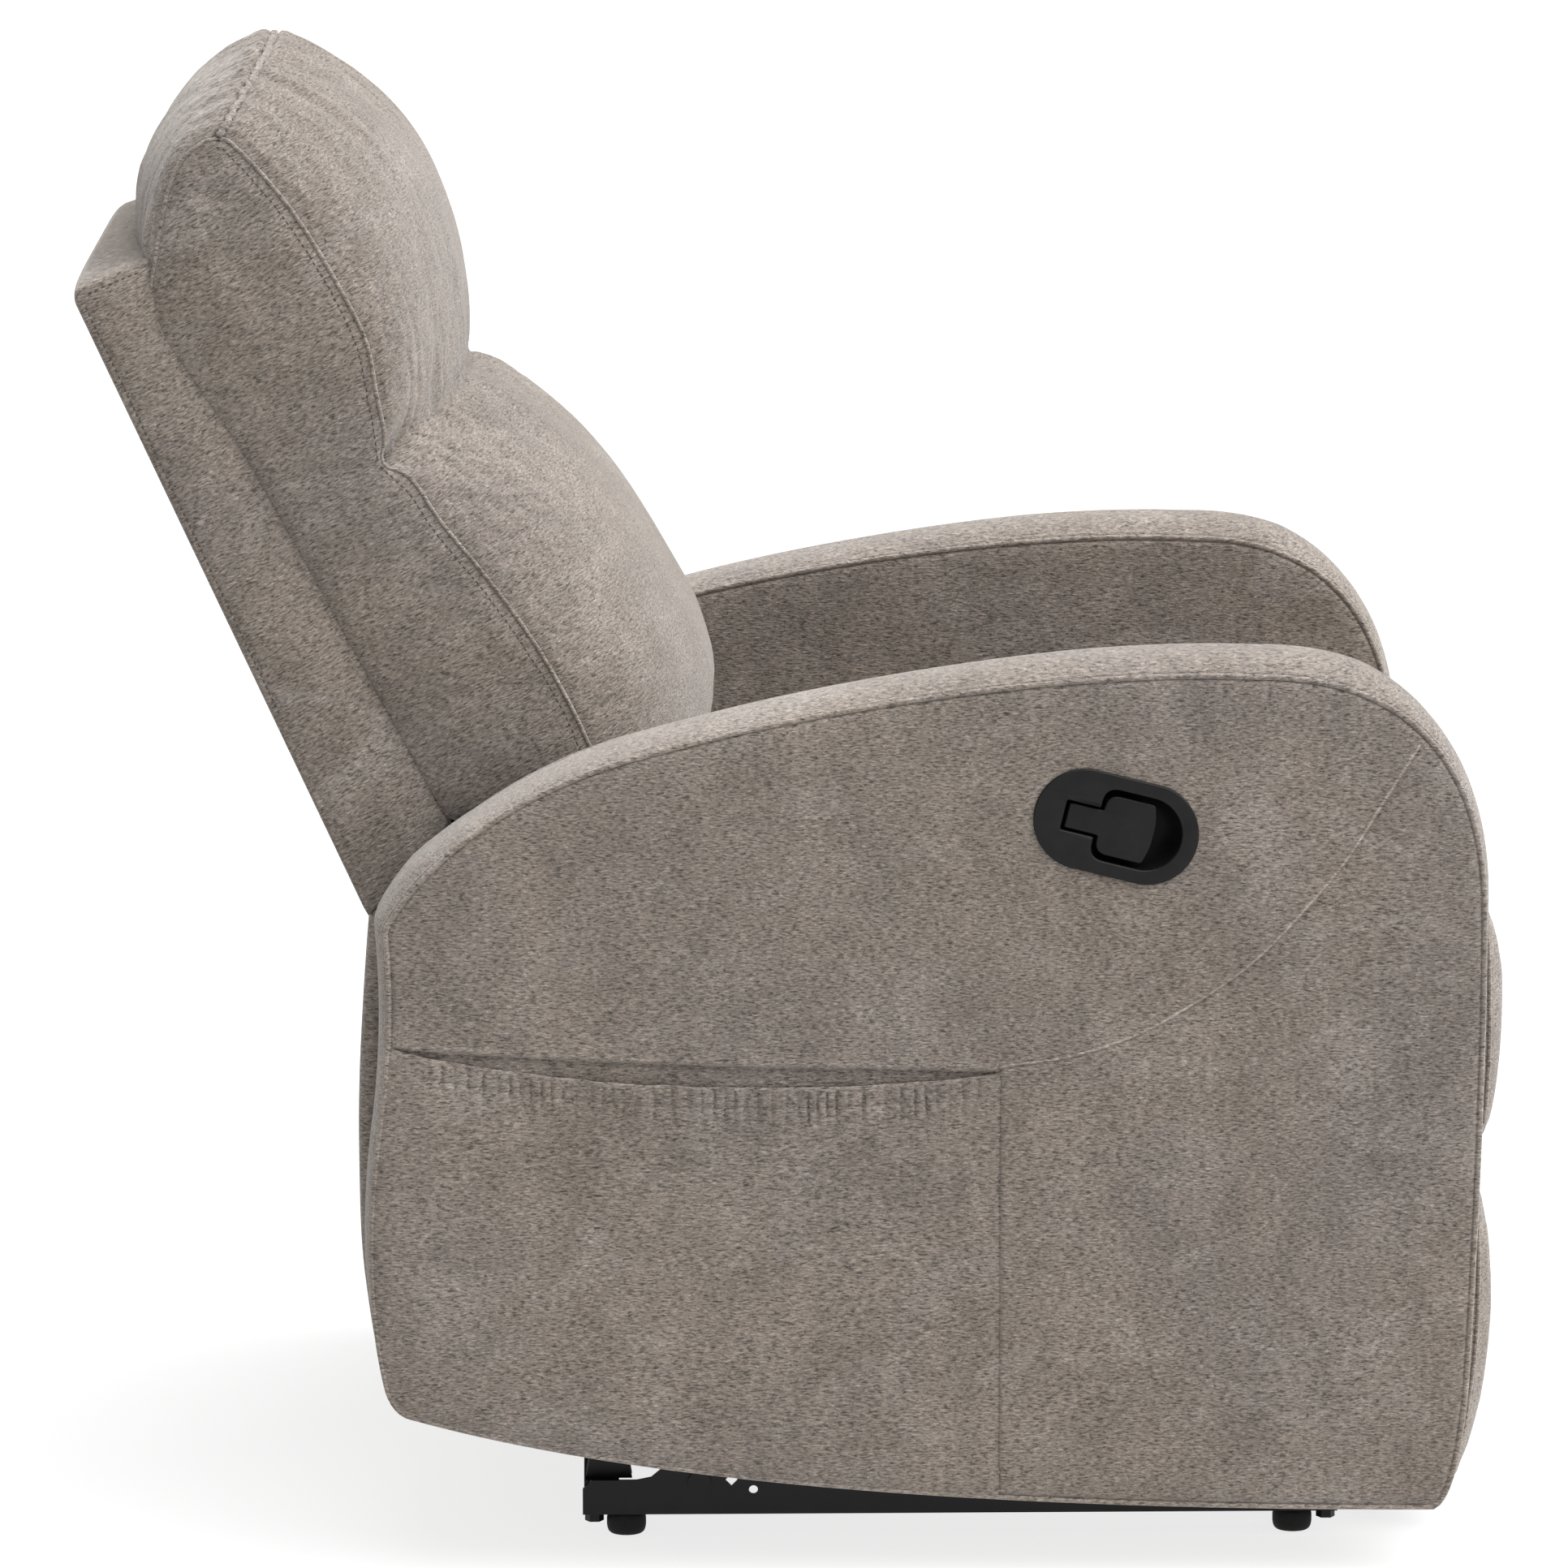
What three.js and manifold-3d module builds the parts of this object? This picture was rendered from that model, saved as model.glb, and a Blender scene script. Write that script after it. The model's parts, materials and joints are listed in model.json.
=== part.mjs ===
// A wall-saver recliner armchair: steel mechanism, timber frames, foam upholstery.
// Millimetres, +Z up, the chair faces -Y, the release handle is on the -X arm.
// The origin is on the floor under the middle of the chair.
import * as THREE from "three";
import { mergeVertices } from "three/addons/utils/BufferGeometryUtils.js";
import Module from "manifold-3d";

const wasm = await Module();
wasm.setup();

// ---- driving dimensions -------------------------------------------------------------------
const GAP = 0.3; // between pieces that touch
const ARM_INNER = 280; // distance of an arm's inner face from the middle plane
const ARM_OUTER = 385;
const SEAT_HALF = 272; // half the width of the seat cushion and footrest pads
const BACK_HALF = 277; // half the width of the back's cover
const STEEL = 3; // thickness of a link or plate

// Where each steel layer starts, as a distance from the middle plane.
const LAYER = { bracket: 249, linkB: 254, linkA: 259, side: 264, tilt: 269, rail: 274 };

const BOTTOM_OF_RAIL = 16;
const FOOT_RADIUS = 13.5;
const FOOT_Y = { front: -343, rear: 115 };
const BOLT_Y = { front: -366, rear: 137 };
const CROSS_Y = { front: -361, rear: 132 };

// Pivots at rest, as (y, z).
const PIVOT = {
  rearGround: [65, 39],
  rearTop: [107, 130],
  frontGround: [-233, 39],
  frontTop: [-140, 99],
  footA: [-330, 300], // long footrest link on the side plate
  footC: [-294, 275], // guide link on the side plate
  footBoard: [-412, 245], // link B on the footrest bracket
  footControl: [-422, 290], // link D on the footrest bracket
  backHinge: [145, 335],
  latch: [-205, 262],
};
const FOOT_LINK = 200; // length of links A and B between pivots
const LINK_TAIL = 42; // from the A-B pivot to where links C and D meet B and A
const LINK_WIDTH = 18;

const BOARD = { rear: -432, front: -444, bottom: 45, top: 445, half: 262 };
const PAD_FRONT = -483;
const BACK_FOOT = [288, 435]; // lower rear corner of the back
const BACK_HEAD = [482, 858]; // upper rear corner of the back
const COVER = 6; // thickness of the back's cover

const HANDLE = { y: -211, z: 512, tilt: THREE.MathUtils.degToRad(14), length: 111.5, width: 68 };
// The pocket in the -X arm: its side seams, its lip, the seam above it, and its depth.
const POCKET = { front: -137, rear: 267, lip: 334, seam: 345, rise: 10, depth: 12, skin: 4 };

const ARM_BOLT = { front: [-165, 318], rear: [60, 300], radius: 4, spacer: 9 };

// ---- materials -----------------------------------------------------------------------------
const finish = (color, roughness, metalness) =>
  new THREE.MeshStandardMaterial({ color, roughness, metalness });
const FABRIC = finish(0x8d8177, 0.95, 0);
const STEEL_BLACK = finish(0x17171a, 0.45, 0.6);
const SPRING_STEEL = finish(0x9a9a98, 0.35, 1);
const TIMBER = finish(0xc39a68, 0.75, 0);
const PLASTIC = finish(0x151517, 0.6, 0);
const RUBBER = finish(0x0d0d0e, 0.85, 0);

// ---- solids --------------------------------------------------------------------------------
// A closed mesh as a solid that can be cut and joined.
function solid(geometry) {
  const bare = geometry.index ? geometry.toNonIndexed() : geometry.clone();
  bare.deleteAttribute("normal");
  bare.deleteAttribute("uv");
  const merged = mergeVertices(bare, 1e-3);
  return new wasm.Manifold(
    new wasm.Mesh({
      numProp: 3,
      vertProperties: new Float32Array(merged.attributes.position.array),
      triVerts: new Uint32Array(merged.index.array),
    }),
  );
}

function geometryOf(body) {
  const mesh = body.getMesh();
  const geometry = new THREE.BufferGeometry();
  geometry.setAttribute("position", new THREE.BufferAttribute(mesh.vertProperties, 3));
  geometry.setIndex(new THREE.BufferAttribute(mesh.triVerts, 1));
  return geometry;
}

const join = (first, ...others) =>
  geometryOf(others.reduce((sum, g) => sum.add(solid(g)), solid(first)));
const cut = (first, ...others) =>
  geometryOf(others.reduce((rest, g) => rest.subtract(solid(g)), solid(first)));

const mirror = (geometry) => geometryOf(solid(geometry).mirror([1, 0, 0]));

// Turns a shape drawn in the XY plane so that it lies in the YZ plane and grows along X.
const TO_SIDE = new THREE.Matrix4().makeBasis(
  new THREE.Vector3(0, 1, 0),
  new THREE.Vector3(0, 0, 1),
  new THREE.Vector3(1, 0, 0),
);

// A (y, z) outline made thick along X.
function slabX(shape, x0, x1, curveSegments = 5) {
  const geometry = new THREE.ExtrudeGeometry(shape, {
    depth: x1 - x0,
    bevelEnabled: false,
    curveSegments,
  });
  return geometry.applyMatrix4(TO_SIDE).translate(x0, 0, 0);
}

// The same with its two end faces drawn in, for upholstery.
function pillowX(shape, half, inset, curveSegments = 5) {
  const geometry = new THREE.ExtrudeGeometry(shape, {
    depth: 2 * (half - inset),
    bevelThickness: inset,
    bevelSize: inset,
    bevelOffset: -inset,
    bevelSegments: 1,
    curveSegments,
  });
  return geometry.applyMatrix4(TO_SIDE).translate(inset - half, 0, 0);
}

const outline = (points) => new THREE.Shape(points.map(([y, z]) => new THREE.Vector2(y, z)));

function block(x0, x1, y0, y1, z0, z1) {
  const geometry = new THREE.BoxGeometry(x1 - x0, y1 - y0, z1 - z0);
  return geometry.translate((x0 + x1) / 2, (y0 + y1) / 2, (z0 + z1) / 2);
}

function rodX([y, z], radius, x0, x1, sides = 10) {
  const geometry = new THREE.CylinderGeometry(radius, radius, x1 - x0, sides);
  return geometry.rotateZ(Math.PI / 2).translate((x0 + x1) / 2, y, z);
}

function rodZ(x, y, radius, z0, z1, sides = 12) {
  const geometry = new THREE.CylinderGeometry(radius, radius, z1 - z0, sides);
  return geometry.rotateX(Math.PI / 2).translate(x, y, (z0 + z1) / 2);
}

function hole(shape, [y, z], radius) {
  const ring = new THREE.Path();
  ring.absarc(y, z, radius, 0, 2 * Math.PI, true);
  shape.holes.push(ring);
}

const mix = (a, b, t) => [a[0] + (b[0] - a[0]) * t, a[1] + (b[1] - a[1]) * t];
const span = (a, b) => Math.hypot(b[0] - a[0], b[1] - a[1]);

// A bar with round ends about two pivots.
function barShape(a, b, width) {
  const angle = Math.atan2(b[1] - a[1], b[0] - a[0]);
  const shape = new THREE.Shape();
  shape.absarc(a[0], a[1], width / 2, angle + Math.PI / 2, angle - Math.PI / 2, false);
  shape.absarc(b[0], b[1], width / 2, angle - Math.PI / 2, angle + Math.PI / 2, false);
  return shape;
}

// Where two bars of known length meet; of the two places, the one nearer the floor.
function meetBelow(a, lengthA, b, lengthB) {
  const d = span(a, b);
  const along = (lengthA ** 2 - lengthB ** 2 + d ** 2) / (2 * d);
  const off = Math.sqrt(lengthA ** 2 - along ** 2);
  const foot = mix(a, b, along / d);
  const normal = [-(b[1] - a[1]) / d, (b[0] - a[0]) / d];
  const places = [1, -1].map((s) => [foot[0] + s * off * normal[0], foot[1] + s * off * normal[1]]);
  return places[0][1] < places[1][1] ? places[0] : places[1];
}

// ---- rivets --------------------------------------------------------------------------------
const RIVET = { pin: 5, hole: 5.4, head: 8, headThick: 1.4, clear: 0.3 };

// A rivet's pin from face x0 through the next plate to x1, with its head beyond that plate.
function rivet(pivot, x0, x1, radius = RIVET.pin) {
  const outward = Math.sign(x1 - x0);
  const headStart = x1 + outward * RIVET.clear;
  const headEnd = headStart + outward * RIVET.headThick;
  const [low, high] = [x0, headEnd].sort((a, b) => a - b);
  const [headLow, headHigh] = [headStart, headEnd].sort((a, b) => a - b);
  return [
    rodX(pivot, radius, low, high),
    rodX(pivot, radius + RIVET.head - RIVET.pin, headLow, headHigh),
  ];
}

// ---- the group -----------------------------------------------------------------------------
const chair = new THREE.Group();

function add(name, geometry, material) {
  const mesh = new THREE.Mesh(geometry, material);
  mesh.name = name;
  chair.add(mesh);
  return mesh;
}

// A piece of the +X side, and its mirror image on the -X side.
function addPair(name, geometry, material) {
  add(name + "_right", geometry, material);
  add(name + "_left", geometry, material).scale.x = -1;
}

// ---- base ----------------------------------------------------------------------------------
const FOOT_X = 262; // the feet and the rails' bolts stand this far from the middle plane
const FLANGE_INNER = 250;
const BOLT = { hole: 3.4, shank: 3, head: 6.5 };

const diamond = ([y, z], reach) =>
  [[reach, 0], [0, -reach], [-reach, 0], [0, reach]].map(([u, v]) => new THREE.Vector2(y + u, z + v));

function rail() {
  const shape = outline([
    [-373, 16], [145, 16], [145, 34], [139, 40], [108, 40], [98, 42], [91, 48], [84, 57],
    [74, 62], [60, 66], [-240, 60], [-350, 45], [-373, 36],
  ]);
  hole(shape, [28, 33], 3.2);
  shape.holes.push(new THREE.Path(diamond([43, 40], 4.4)));
  const plate = slabX(shape, LAYER.rail, LAYER.rail + STEEL);
  const flange = block(
    FLANGE_INNER, LAYER.rail + 1, -373, 145, BOTTOM_OF_RAIL, BOTTOM_OF_RAIL + STEEL,
  );
  const pins = [PIVOT.rearGround, PIVOT.frontGround].flatMap((pivot) => [
    ...rivet(pivot, LAYER.rail + 1, LAYER.tilt),
    rodX(pivot, RIVET.head, LAYER.rail + 1, LAYER.rail + STEEL + 2),
  ]);
  const whole = join(plate, flange, ...pins);
  const holes = [FOOT_Y.front, FOOT_Y.rear, BOLT_Y.front, BOLT_Y.rear];
  return cut(whole, ...holes.map((y) => rodZ(FOOT_X, y, BOLT.hole, 10, 22)));
}

function foot(y) {
  const profile = [
    [0, 0], [FOOT_RADIUS - 4, 0], [FOOT_RADIUS - 1.2, 1.2], [FOOT_RADIUS - 0.3, 4],
    [FOOT_RADIUS, BOTTOM_OF_RAIL - GAP], [3, BOTTOM_OF_RAIL - GAP], [3, 21], [0, 21],
  ];
  const points = profile.map(([r, z]) => new THREE.Vector2(r, z));
  return new THREE.LatheGeometry(points, 16).rotateX(Math.PI / 2).translate(FOOT_X, y, 0);
}

function railBolt(y) {
  const head = rodZ(FOOT_X, y, BOLT.head, 8.5, BOTTOM_OF_RAIL - GAP, 6);
  return join(head, rodZ(FOOT_X, y, BOLT.shank, 10, 30));
}

// A square tube between the rails, lying on their flanges.
function crossTube(y) {
  const [low, high] = [BOTTOM_OF_RAIL + STEEL + GAP, 39];
  const shape = outline([[y - 12, low], [y + 12, low], [y + 12, high], [y - 12, high]]);
  const inner = outline([
    [y - 10, low + 2], [y - 10, high - 2], [y + 10, high - 2], [y + 10, low + 2],
  ]);
  shape.holes.push(inner);
  const end = LAYER.rail - GAP;
  return slabX(shape, -end, end);
}

const boltHoles = (y) => [-FOOT_X, FOOT_X].map((x) => rodZ(x, y, BOLT.hole, 15, 30));

// The rear tube also carries a pressed upright at each end.
function rearCrossTube() {
  const side = outline([[111, 38], [143, 38], [136, 75], [135, 108], [117, 108], [117, 75]]);
  const uprights = [1, -1].flatMap((s) => {
    const piece = (x0, x1) => (s > 0 ? [x0, x1] : [-x1, -x0]);
    return [
      slabX(side, ...piece(246, 248.5)),
      slabX(side, ...piece(259.5, 262)),
      block(...piece(247, 261), 117, 119.5, 38, 108),
    ];
  });
  return join(crossTube(CROSS_Y.rear), ...uprights);
}

addPair("base_rail", rail(), STEEL_BLACK);
for (const end of ["front", "rear"]) {
  addPair("foot_" + end, foot(FOOT_Y[end]), RUBBER);
  addPair("rail_bolt_" + end, railBolt(BOLT_Y[end]), STEEL_BLACK);
}
add("front_cross_tube", cut(crossTube(CROSS_Y.front), ...boltHoles(BOLT_Y.front)), STEEL_BLACK);
add("rear_cross_tube", cut(rearCrossTube(), ...boltHoles(BOLT_Y.rear)), STEEL_BLACK);

// ---- tilt links between the base and the side plates ---------------------------------------
function rearLink() {
  const shape = barShape(PIVOT.rearGround, PIVOT.rearTop, 26);
  hole(shape, PIVOT.rearGround, RIVET.hole);
  hole(shape, PIVOT.rearTop, RIVET.hole);
  return slabX(shape, LAYER.tilt, LAYER.tilt + STEEL);
}

// Its upper pivot is left open: the rivet stops short of the side plate.
function frontLink() {
  const shape = barShape(PIVOT.frontGround, PIVOT.frontTop, 24);
  hole(shape, PIVOT.frontGround, RIVET.hole);
  const bar = slabX(shape, LAYER.tilt, LAYER.tilt + STEEL);
  const stud = rodX(PIVOT.frontTop, 8, LAYER.side + STEEL + 0.5, LAYER.tilt + STEEL + 1.5);
  return join(bar, stud);
}

addPair("rear_link", rearLink(), STEEL_BLACK);
addPair("front_link", frontLink(), STEEL_BLACK);

// ---- side plates ---------------------------------------------------------------------------
function sidePlate() {
  const shape = outline([
    [-348, 344], [-348, 286], [-312, 254], [-282, 238], [-166, 94], [-150, 84], [-128, 84],
    [-104, 108], [88, 114], [104, 114], [122, 122], [128, 146], [163, 322], [164, 342],
    [154, 349], [132, 349], [122, 344],
  ]);
  hole(shape, PIVOT.footA, RIVET.hole);
  hole(shape, PIVOT.footC, RIVET.hole);
  hole(shape, PIVOT.backHinge, RIVET.hole);
  hole(shape, ARM_BOLT.front, ARM_BOLT.radius + GAP);
  hole(shape, ARM_BOLT.rear, ARM_BOLT.radius + GAP);
  const plate = slabX(shape, LAYER.side, LAYER.side + STEEL);
  return join(plate, ...rivet(PIVOT.rearTop, LAYER.side + 1, LAYER.tilt + STEEL));
}
addPair("side_plate", sidePlate(), STEEL_BLACK);

// ---- footrest linkage ----------------------------------------------------------------------
const knee = meetBelow(PIVOT.footA, FOOT_LINK, PIVOT.footBoard, FOOT_LINK); // A meets B
const kneeB = mix(knee, PIVOT.footBoard, -LINK_TAIL / FOOT_LINK); // C meets B
const kneeA = mix(knee, PIVOT.footA, LINK_TAIL / FOOT_LINK); // D meets A

function linkA() {
  const shape = barShape(PIVOT.footA, knee, LINK_WIDTH);
  hole(shape, kneeA, RIVET.hole);
  return join(
    slabX(shape, LAYER.linkA, LAYER.linkA + STEEL),
    ...rivet(PIVOT.footA, LAYER.linkA + 1, LAYER.side + STEEL),
    ...rivet(knee, LAYER.linkA + 1, LAYER.linkB),
  );
}

function linkB() {
  const shape = barShape(kneeB, PIVOT.footBoard, LINK_WIDTH);
  hole(shape, knee, RIVET.hole);
  hole(shape, PIVOT.footBoard, RIVET.hole);
  return slabX(shape, LAYER.linkB, LAYER.linkB + STEEL);
}

// Its lower pivot is left open: the rivet stops short of link B.
function linkC() {
  const shape = barShape(PIVOT.footC, kneeB, LINK_WIDTH);
  return join(
    slabX(shape, LAYER.linkA, LAYER.linkA + STEEL),
    ...rivet(PIVOT.footC, LAYER.linkA + 1, LAYER.side + STEEL),
    rodX(kneeB, 7, LAYER.linkB + STEEL + 0.5, LAYER.linkA + STEEL + 1.4),
  );
}

// Its upper pivot is left open: the rivet stops short of the footrest bracket.
function linkD() {
  const shape = barShape(kneeA, PIVOT.footControl, LINK_WIDTH);
  return join(
    slabX(shape, LAYER.linkB, LAYER.linkB + STEEL),
    ...rivet(kneeA, LAYER.linkB + 1, LAYER.linkA + STEEL),
    rodX(PIVOT.footControl, 7, LAYER.bracket + STEEL + 0.5, LAYER.linkB + STEEL + 1.4),
  );
}

function footrestBracket() {
  const rear = BOARD.rear + GAP;
  const shape = outline([
    [rear, 205], [rear, 325], [-424, 318], [-410, 300], [-399, 250], [-401, 234], [-420, 222],
  ]);
  const plate = slabX(shape, LAYER.bracket, LAYER.bracket + STEEL);
  const flange = block(222, LAYER.bracket + 1, rear, rear + STEEL, 205, 325);
  return join(plate, flange, ...rivet(PIVOT.footBoard, LAYER.bracket + 1, LAYER.linkB + STEEL));
}

// Both links A are welded to the torque tube, so that the footrest's two sides move as one.
const tubeEnd = LAYER.linkA + 1;
const torqueTube = rodX(PIVOT.footA, 9, -tubeEnd, tubeEnd);
add("footrest_drive_tube", join(torqueTube, linkA(), mirror(linkA())), STEEL_BLACK);
addPair("footrest_link_b", linkB(), STEEL_BLACK);
addPair("footrest_link_c", linkC(), STEEL_BLACK);
addPair("footrest_link_d", linkD(), STEEL_BLACK);
addPair("footrest_bracket", footrestBracket(), STEEL_BLACK);

// ---- footrest ------------------------------------------------------------------------------
add(
  "footrest_board",
  block(-BOARD.half, BOARD.half, BOARD.front, BOARD.rear, BOARD.bottom, BOARD.top),
  TIMBER,
);

// A pad lies on the board's face; the outer one also wraps round the board's edge.
function footrestPad(low, high) {
  const face = BOARD.front - GAP;
  const shape = new THREE.Shape();
  shape.moveTo(face, low + 6);
  shape.lineTo(face, high - 6);
  shape.quadraticCurveTo(PAD_FRONT + 8, high, PAD_FRONT + 3, high - 40);
  shape.quadraticCurveTo(PAD_FRONT - 3, (low + high) / 2, PAD_FRONT + 3, low + 40);
  shape.quadraticCurveTo(PAD_FRONT + 8, low, face, low + 6);
  return pillowX(shape, SEAT_HALF, 8, 5);
}
add("footrest_pad_upper", footrestPad(257, 452), FABRIC);
add("footrest_pad_lower", footrestPad(17, 254), FABRIC);

// ---- arms ----------------------------------------------------------------------------------
function armShape() {
  const shape = new THREE.Shape();
  shape.moveTo(-430, 52);
  shape.quadraticCurveTo(-444, 62, -448, 139);
  shape.lineTo(-454, 375);
  shape.bezierCurveTo(-454, 500, -420, 600, -300, 610);
  shape.bezierCurveTo(-190, 618, -20, 596, 100, 569);
  shape.bezierCurveTo(190, 545, 262, 486, 271, 450);
  shape.quadraticCurveTo(263, 370, 273, 290);
  shape.quadraticCurveTo(278, 200, 269, 114);
  shape.quadraticCurveTo(268, 108, 258, 106);
  shape.bezierCurveTo(120, 66, -60, 50, -430, 52);
  return shape;
}

// The timber panel inside an arm. The pad's slot for it is open at the bottom.
function armPanelShape(grow, foot) {
  return outline([
    [-425 - grow, foot[0]], [-425 - grow, 380], [-410 - grow, 500 + grow], [-330, 570 + grow],
    [-180, 580 + grow], [60, 545 + grow], [180, 490 + grow], [238 + grow, 430],
    [238 + grow, foot[1]], [60, foot[2]], [-120, foot[3]],
  ]);
}
const PANEL = { inner: 318, outer: 336 };

function armBolt(pivot) {
  return join(
    rodX(pivot, ARM_BOLT.radius, LAYER.side - 2, PANEL.outer - 2),
    rodX(pivot, ARM_BOLT.spacer, LAYER.side + STEEL + GAP, ARM_INNER - GAP),
    rodX(pivot, 7, LAYER.side - GAP - 3.4, LAYER.side - GAP, 6),
  );
}

// ---- handle, in its own frame: a towards the front, b upwards, depth into the arm -----------
function handleToChair(geometry) {
  const a = new THREE.Vector3(0, -Math.cos(HANDLE.tilt), -Math.sin(HANDLE.tilt));
  const b = new THREE.Vector3(0, -Math.sin(HANDLE.tilt), Math.cos(HANDLE.tilt));
  const outward = new THREE.Vector3(-1, 0, 0);
  const frame = new THREE.Matrix4().makeBasis(a, b, outward);
  return geometry.applyMatrix4(frame).translate(-ARM_OUTER, HANDLE.y, HANDLE.z);
}

// An outline in the handle's frame, from one depth under the arm's face to another.
function handleSlab(shape, top, bottom) {
  const geometry = new THREE.ExtrudeGeometry(shape, {
    depth: bottom - top,
    bevelEnabled: false,
    curveSegments: 5,
  });
  return handleToChair(geometry.translate(0, 0, -bottom));
}

function stadium(length, width) {
  const reach = (length - width) / 2;
  const shape = new THREE.Shape();
  shape.absarc(reach, 0, width / 2, -Math.PI / 2, Math.PI / 2, false);
  shape.absarc(-reach, 0, width / 2, Math.PI / 2, (3 * Math.PI) / 2, false);
  return shape;
}

// The T-shaped recess: a narrow tail behind, a wide well with a round front end.
function recess(grow) {
  const shape = new THREE.Shape();
  const [tail, well, corner] = [10.3 + grow, 24.5 + grow, 9];
  shape.moveTo(-36 - grow, -tail);
  shape.lineTo(-13 - grow, -tail);
  shape.quadraticCurveTo(-13 - grow, -well, -13 - grow + corner, -well);
  shape.lineTo(20, -well);
  shape.absarc(20, 0, well, -Math.PI / 2, Math.PI / 2, false);
  shape.lineTo(-13 - grow + corner, well);
  shape.quadraticCurveTo(-13 - grow, well, -13 - grow, tail);
  shape.lineTo(-36 - grow, tail);
  return shape;
}

const CUP = { flange: 3, depth: 26, wall: 2.5, pivotA: -30.5, pivotDepth: 5 };

function handlePin(radius, reach) {
  const pin = new THREE.CylinderGeometry(radius, radius, 2 * reach, 12);
  return handleToChair(pin.translate(CUP.pivotA, 0, -CUP.pivotDepth));
}

function handleBezel() {
  const flange = handleSlab(stadium(HANDLE.length, HANDLE.width), 0, CUP.flange);
  const cup = handleSlab(recess(CUP.wall), CUP.flange - 1, CUP.depth);
  const well = handleSlab(recess(0), -1, CUP.depth - CUP.wall);
  return cut(join(flange, cup), well, handlePin(2.3, 12.4));
}

function handlePaddle() {
  const shape = new THREE.Shape();
  shape.moveTo(-33.5, -8.5);
  shape.lineTo(-11, -8.5);
  shape.quadraticCurveTo(-10, -20.5, -2, -20.5);
  shape.lineTo(21.5, -20.5);
  shape.quadraticCurveTo(29, 0, 21.5, 20);
  shape.lineTo(-3, 20);
  shape.quadraticCurveTo(-9, 19, -10, 8.5);
  shape.lineTo(-33.5, 8.5);
  const plate = handleSlab(shape, 1.5, 6.5);
  const barrel = handlePin(3.2, 8.5);
  return join(plate, barrel, handlePin(2, 12));
}

// ---- release cable and latch ---------------------------------------------------------------
const CABLE = { radius: 2.5, lane: -276, start: -ARM_OUTER + CUP.depth + GAP };

function cable(radius, start) {
  const { y, z } = HANDLE;
  const route = new THREE.CatmullRomCurve3(
    [
      [start, y, z], [-330, y, z], [-300, y, z - 2], [-283, y, z - 12],
      [CABLE.lane, y, z - 40], [CABLE.lane, y, z - 120], [CABLE.lane, y + 2, 340],
      [CABLE.lane, PIVOT.latch[0] + 4, PIVOT.latch[1] + 30],
    ].map((p) => new THREE.Vector3(...p)),
  );
  const section = new THREE.Shape().absarc(0, 0, radius, 0, 2 * Math.PI, false);
  return new THREE.ExtrudeGeometry(section, {
    steps: 30,
    curveSegments: 4,
    bevelEnabled: false,
    extrudePath: route,
  });
}
const cableBore = () => cable(CABLE.radius + 2 * GAP, CABLE.start - 2);

// The hook that the cable lifts; it lies outside the -X side plate.
function releaseLatch() {
  const [y, z] = PIVOT.latch;
  const shape = new THREE.Shape();
  shape.absarc(y, z, 11, 0, Math.PI, false);
  shape.lineTo(y - 11, z - 22);
  shape.lineTo(y - 25, z - 34);
  shape.lineTo(y - 22, z - 42);
  shape.lineTo(y + 4, z - 30);
  shape.lineTo(y + 11, z);
  hole(shape, [y, z], RIVET.hole);
  return slabX(shape, -LAYER.tilt - STEEL, -LAYER.tilt);
}

// ---- arms' own pieces ----------------------------------------------------------------------

function armPad() {
  const pad = slabX(armShape(), ARM_INNER, ARM_OUTER, 7);
  const slot = slabX(armPanelShape(GAP, [30, 30, 25, 25]), PANEL.inner - GAP, PANEL.outer + GAP);
  const bores = [ARM_BOLT.front, ARM_BOLT.rear].map((pivot) =>
    rodX(pivot, ARM_BOLT.radius + GAP, ARM_INNER - 5, PANEL.inner),
  );
  return cut(pad, slot, ...bores);
}

function armPadWithPocket() {
  const recessShape = outline([
    [POCKET.front, 30], [300, 30], [300, 110], [POCKET.rear, 110],
    [POCKET.rear, POCKET.seam + POCKET.rise], [POCKET.front, POCKET.seam],
  ]);
  return cut(
    mirror(armPad()),
    slabX(recessShape, -ARM_OUTER - 1, -ARM_OUTER + POCKET.depth),
    handleSlab(stadium(HANDLE.length + 2 * GAP, HANDLE.width + 2 * GAP), -1, CUP.flange + GAP),
    handleSlab(recess(CUP.wall + GAP), 0, CUP.depth + GAP),
    cableBore(),
  );
}

// The pocket's outer skin: open at the top, closed along its sides and its foot.
function pocketPanel() {
  const [front, rear] = [POCKET.front + GAP, POCKET.rear - GAP];
  const shape = outline([[front, 30], [rear, 30], [rear, POCKET.lip + 8], [front, POCKET.lip]]);
  const inner = -ARM_OUTER + POCKET.depth - GAP;
  const sheet = solid(slabX(shape, -ARM_OUTER, inner));
  const arm = solid(slabX(armShape(), -ARM_OUTER - 1, -ARM_INNER, 7));
  const whole = geometryOf(sheet.intersect(arm));
  const pouch = outline([
    [front + 8, 72], [80, 90], [190, 110], [rear - 10, 134], [rear - 10, 400], [front + 8, 400],
  ]);
  return cut(whole, slabX(pouch, -ARM_OUTER + POCKET.skin, inner + 1));
}

function armPanel() {
  const panel = slabX(armPanelShape(0, [58, 108, 82, 62]), PANEL.inner, PANEL.outer);
  const clear = ARM_BOLT.radius + GAP;
  const bores = [ARM_BOLT.front, ARM_BOLT.rear].map((pivot) =>
    rodX(pivot, clear, PANEL.inner - 5, PANEL.outer - 1),
  );
  return cut(panel, ...bores);
}

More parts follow.
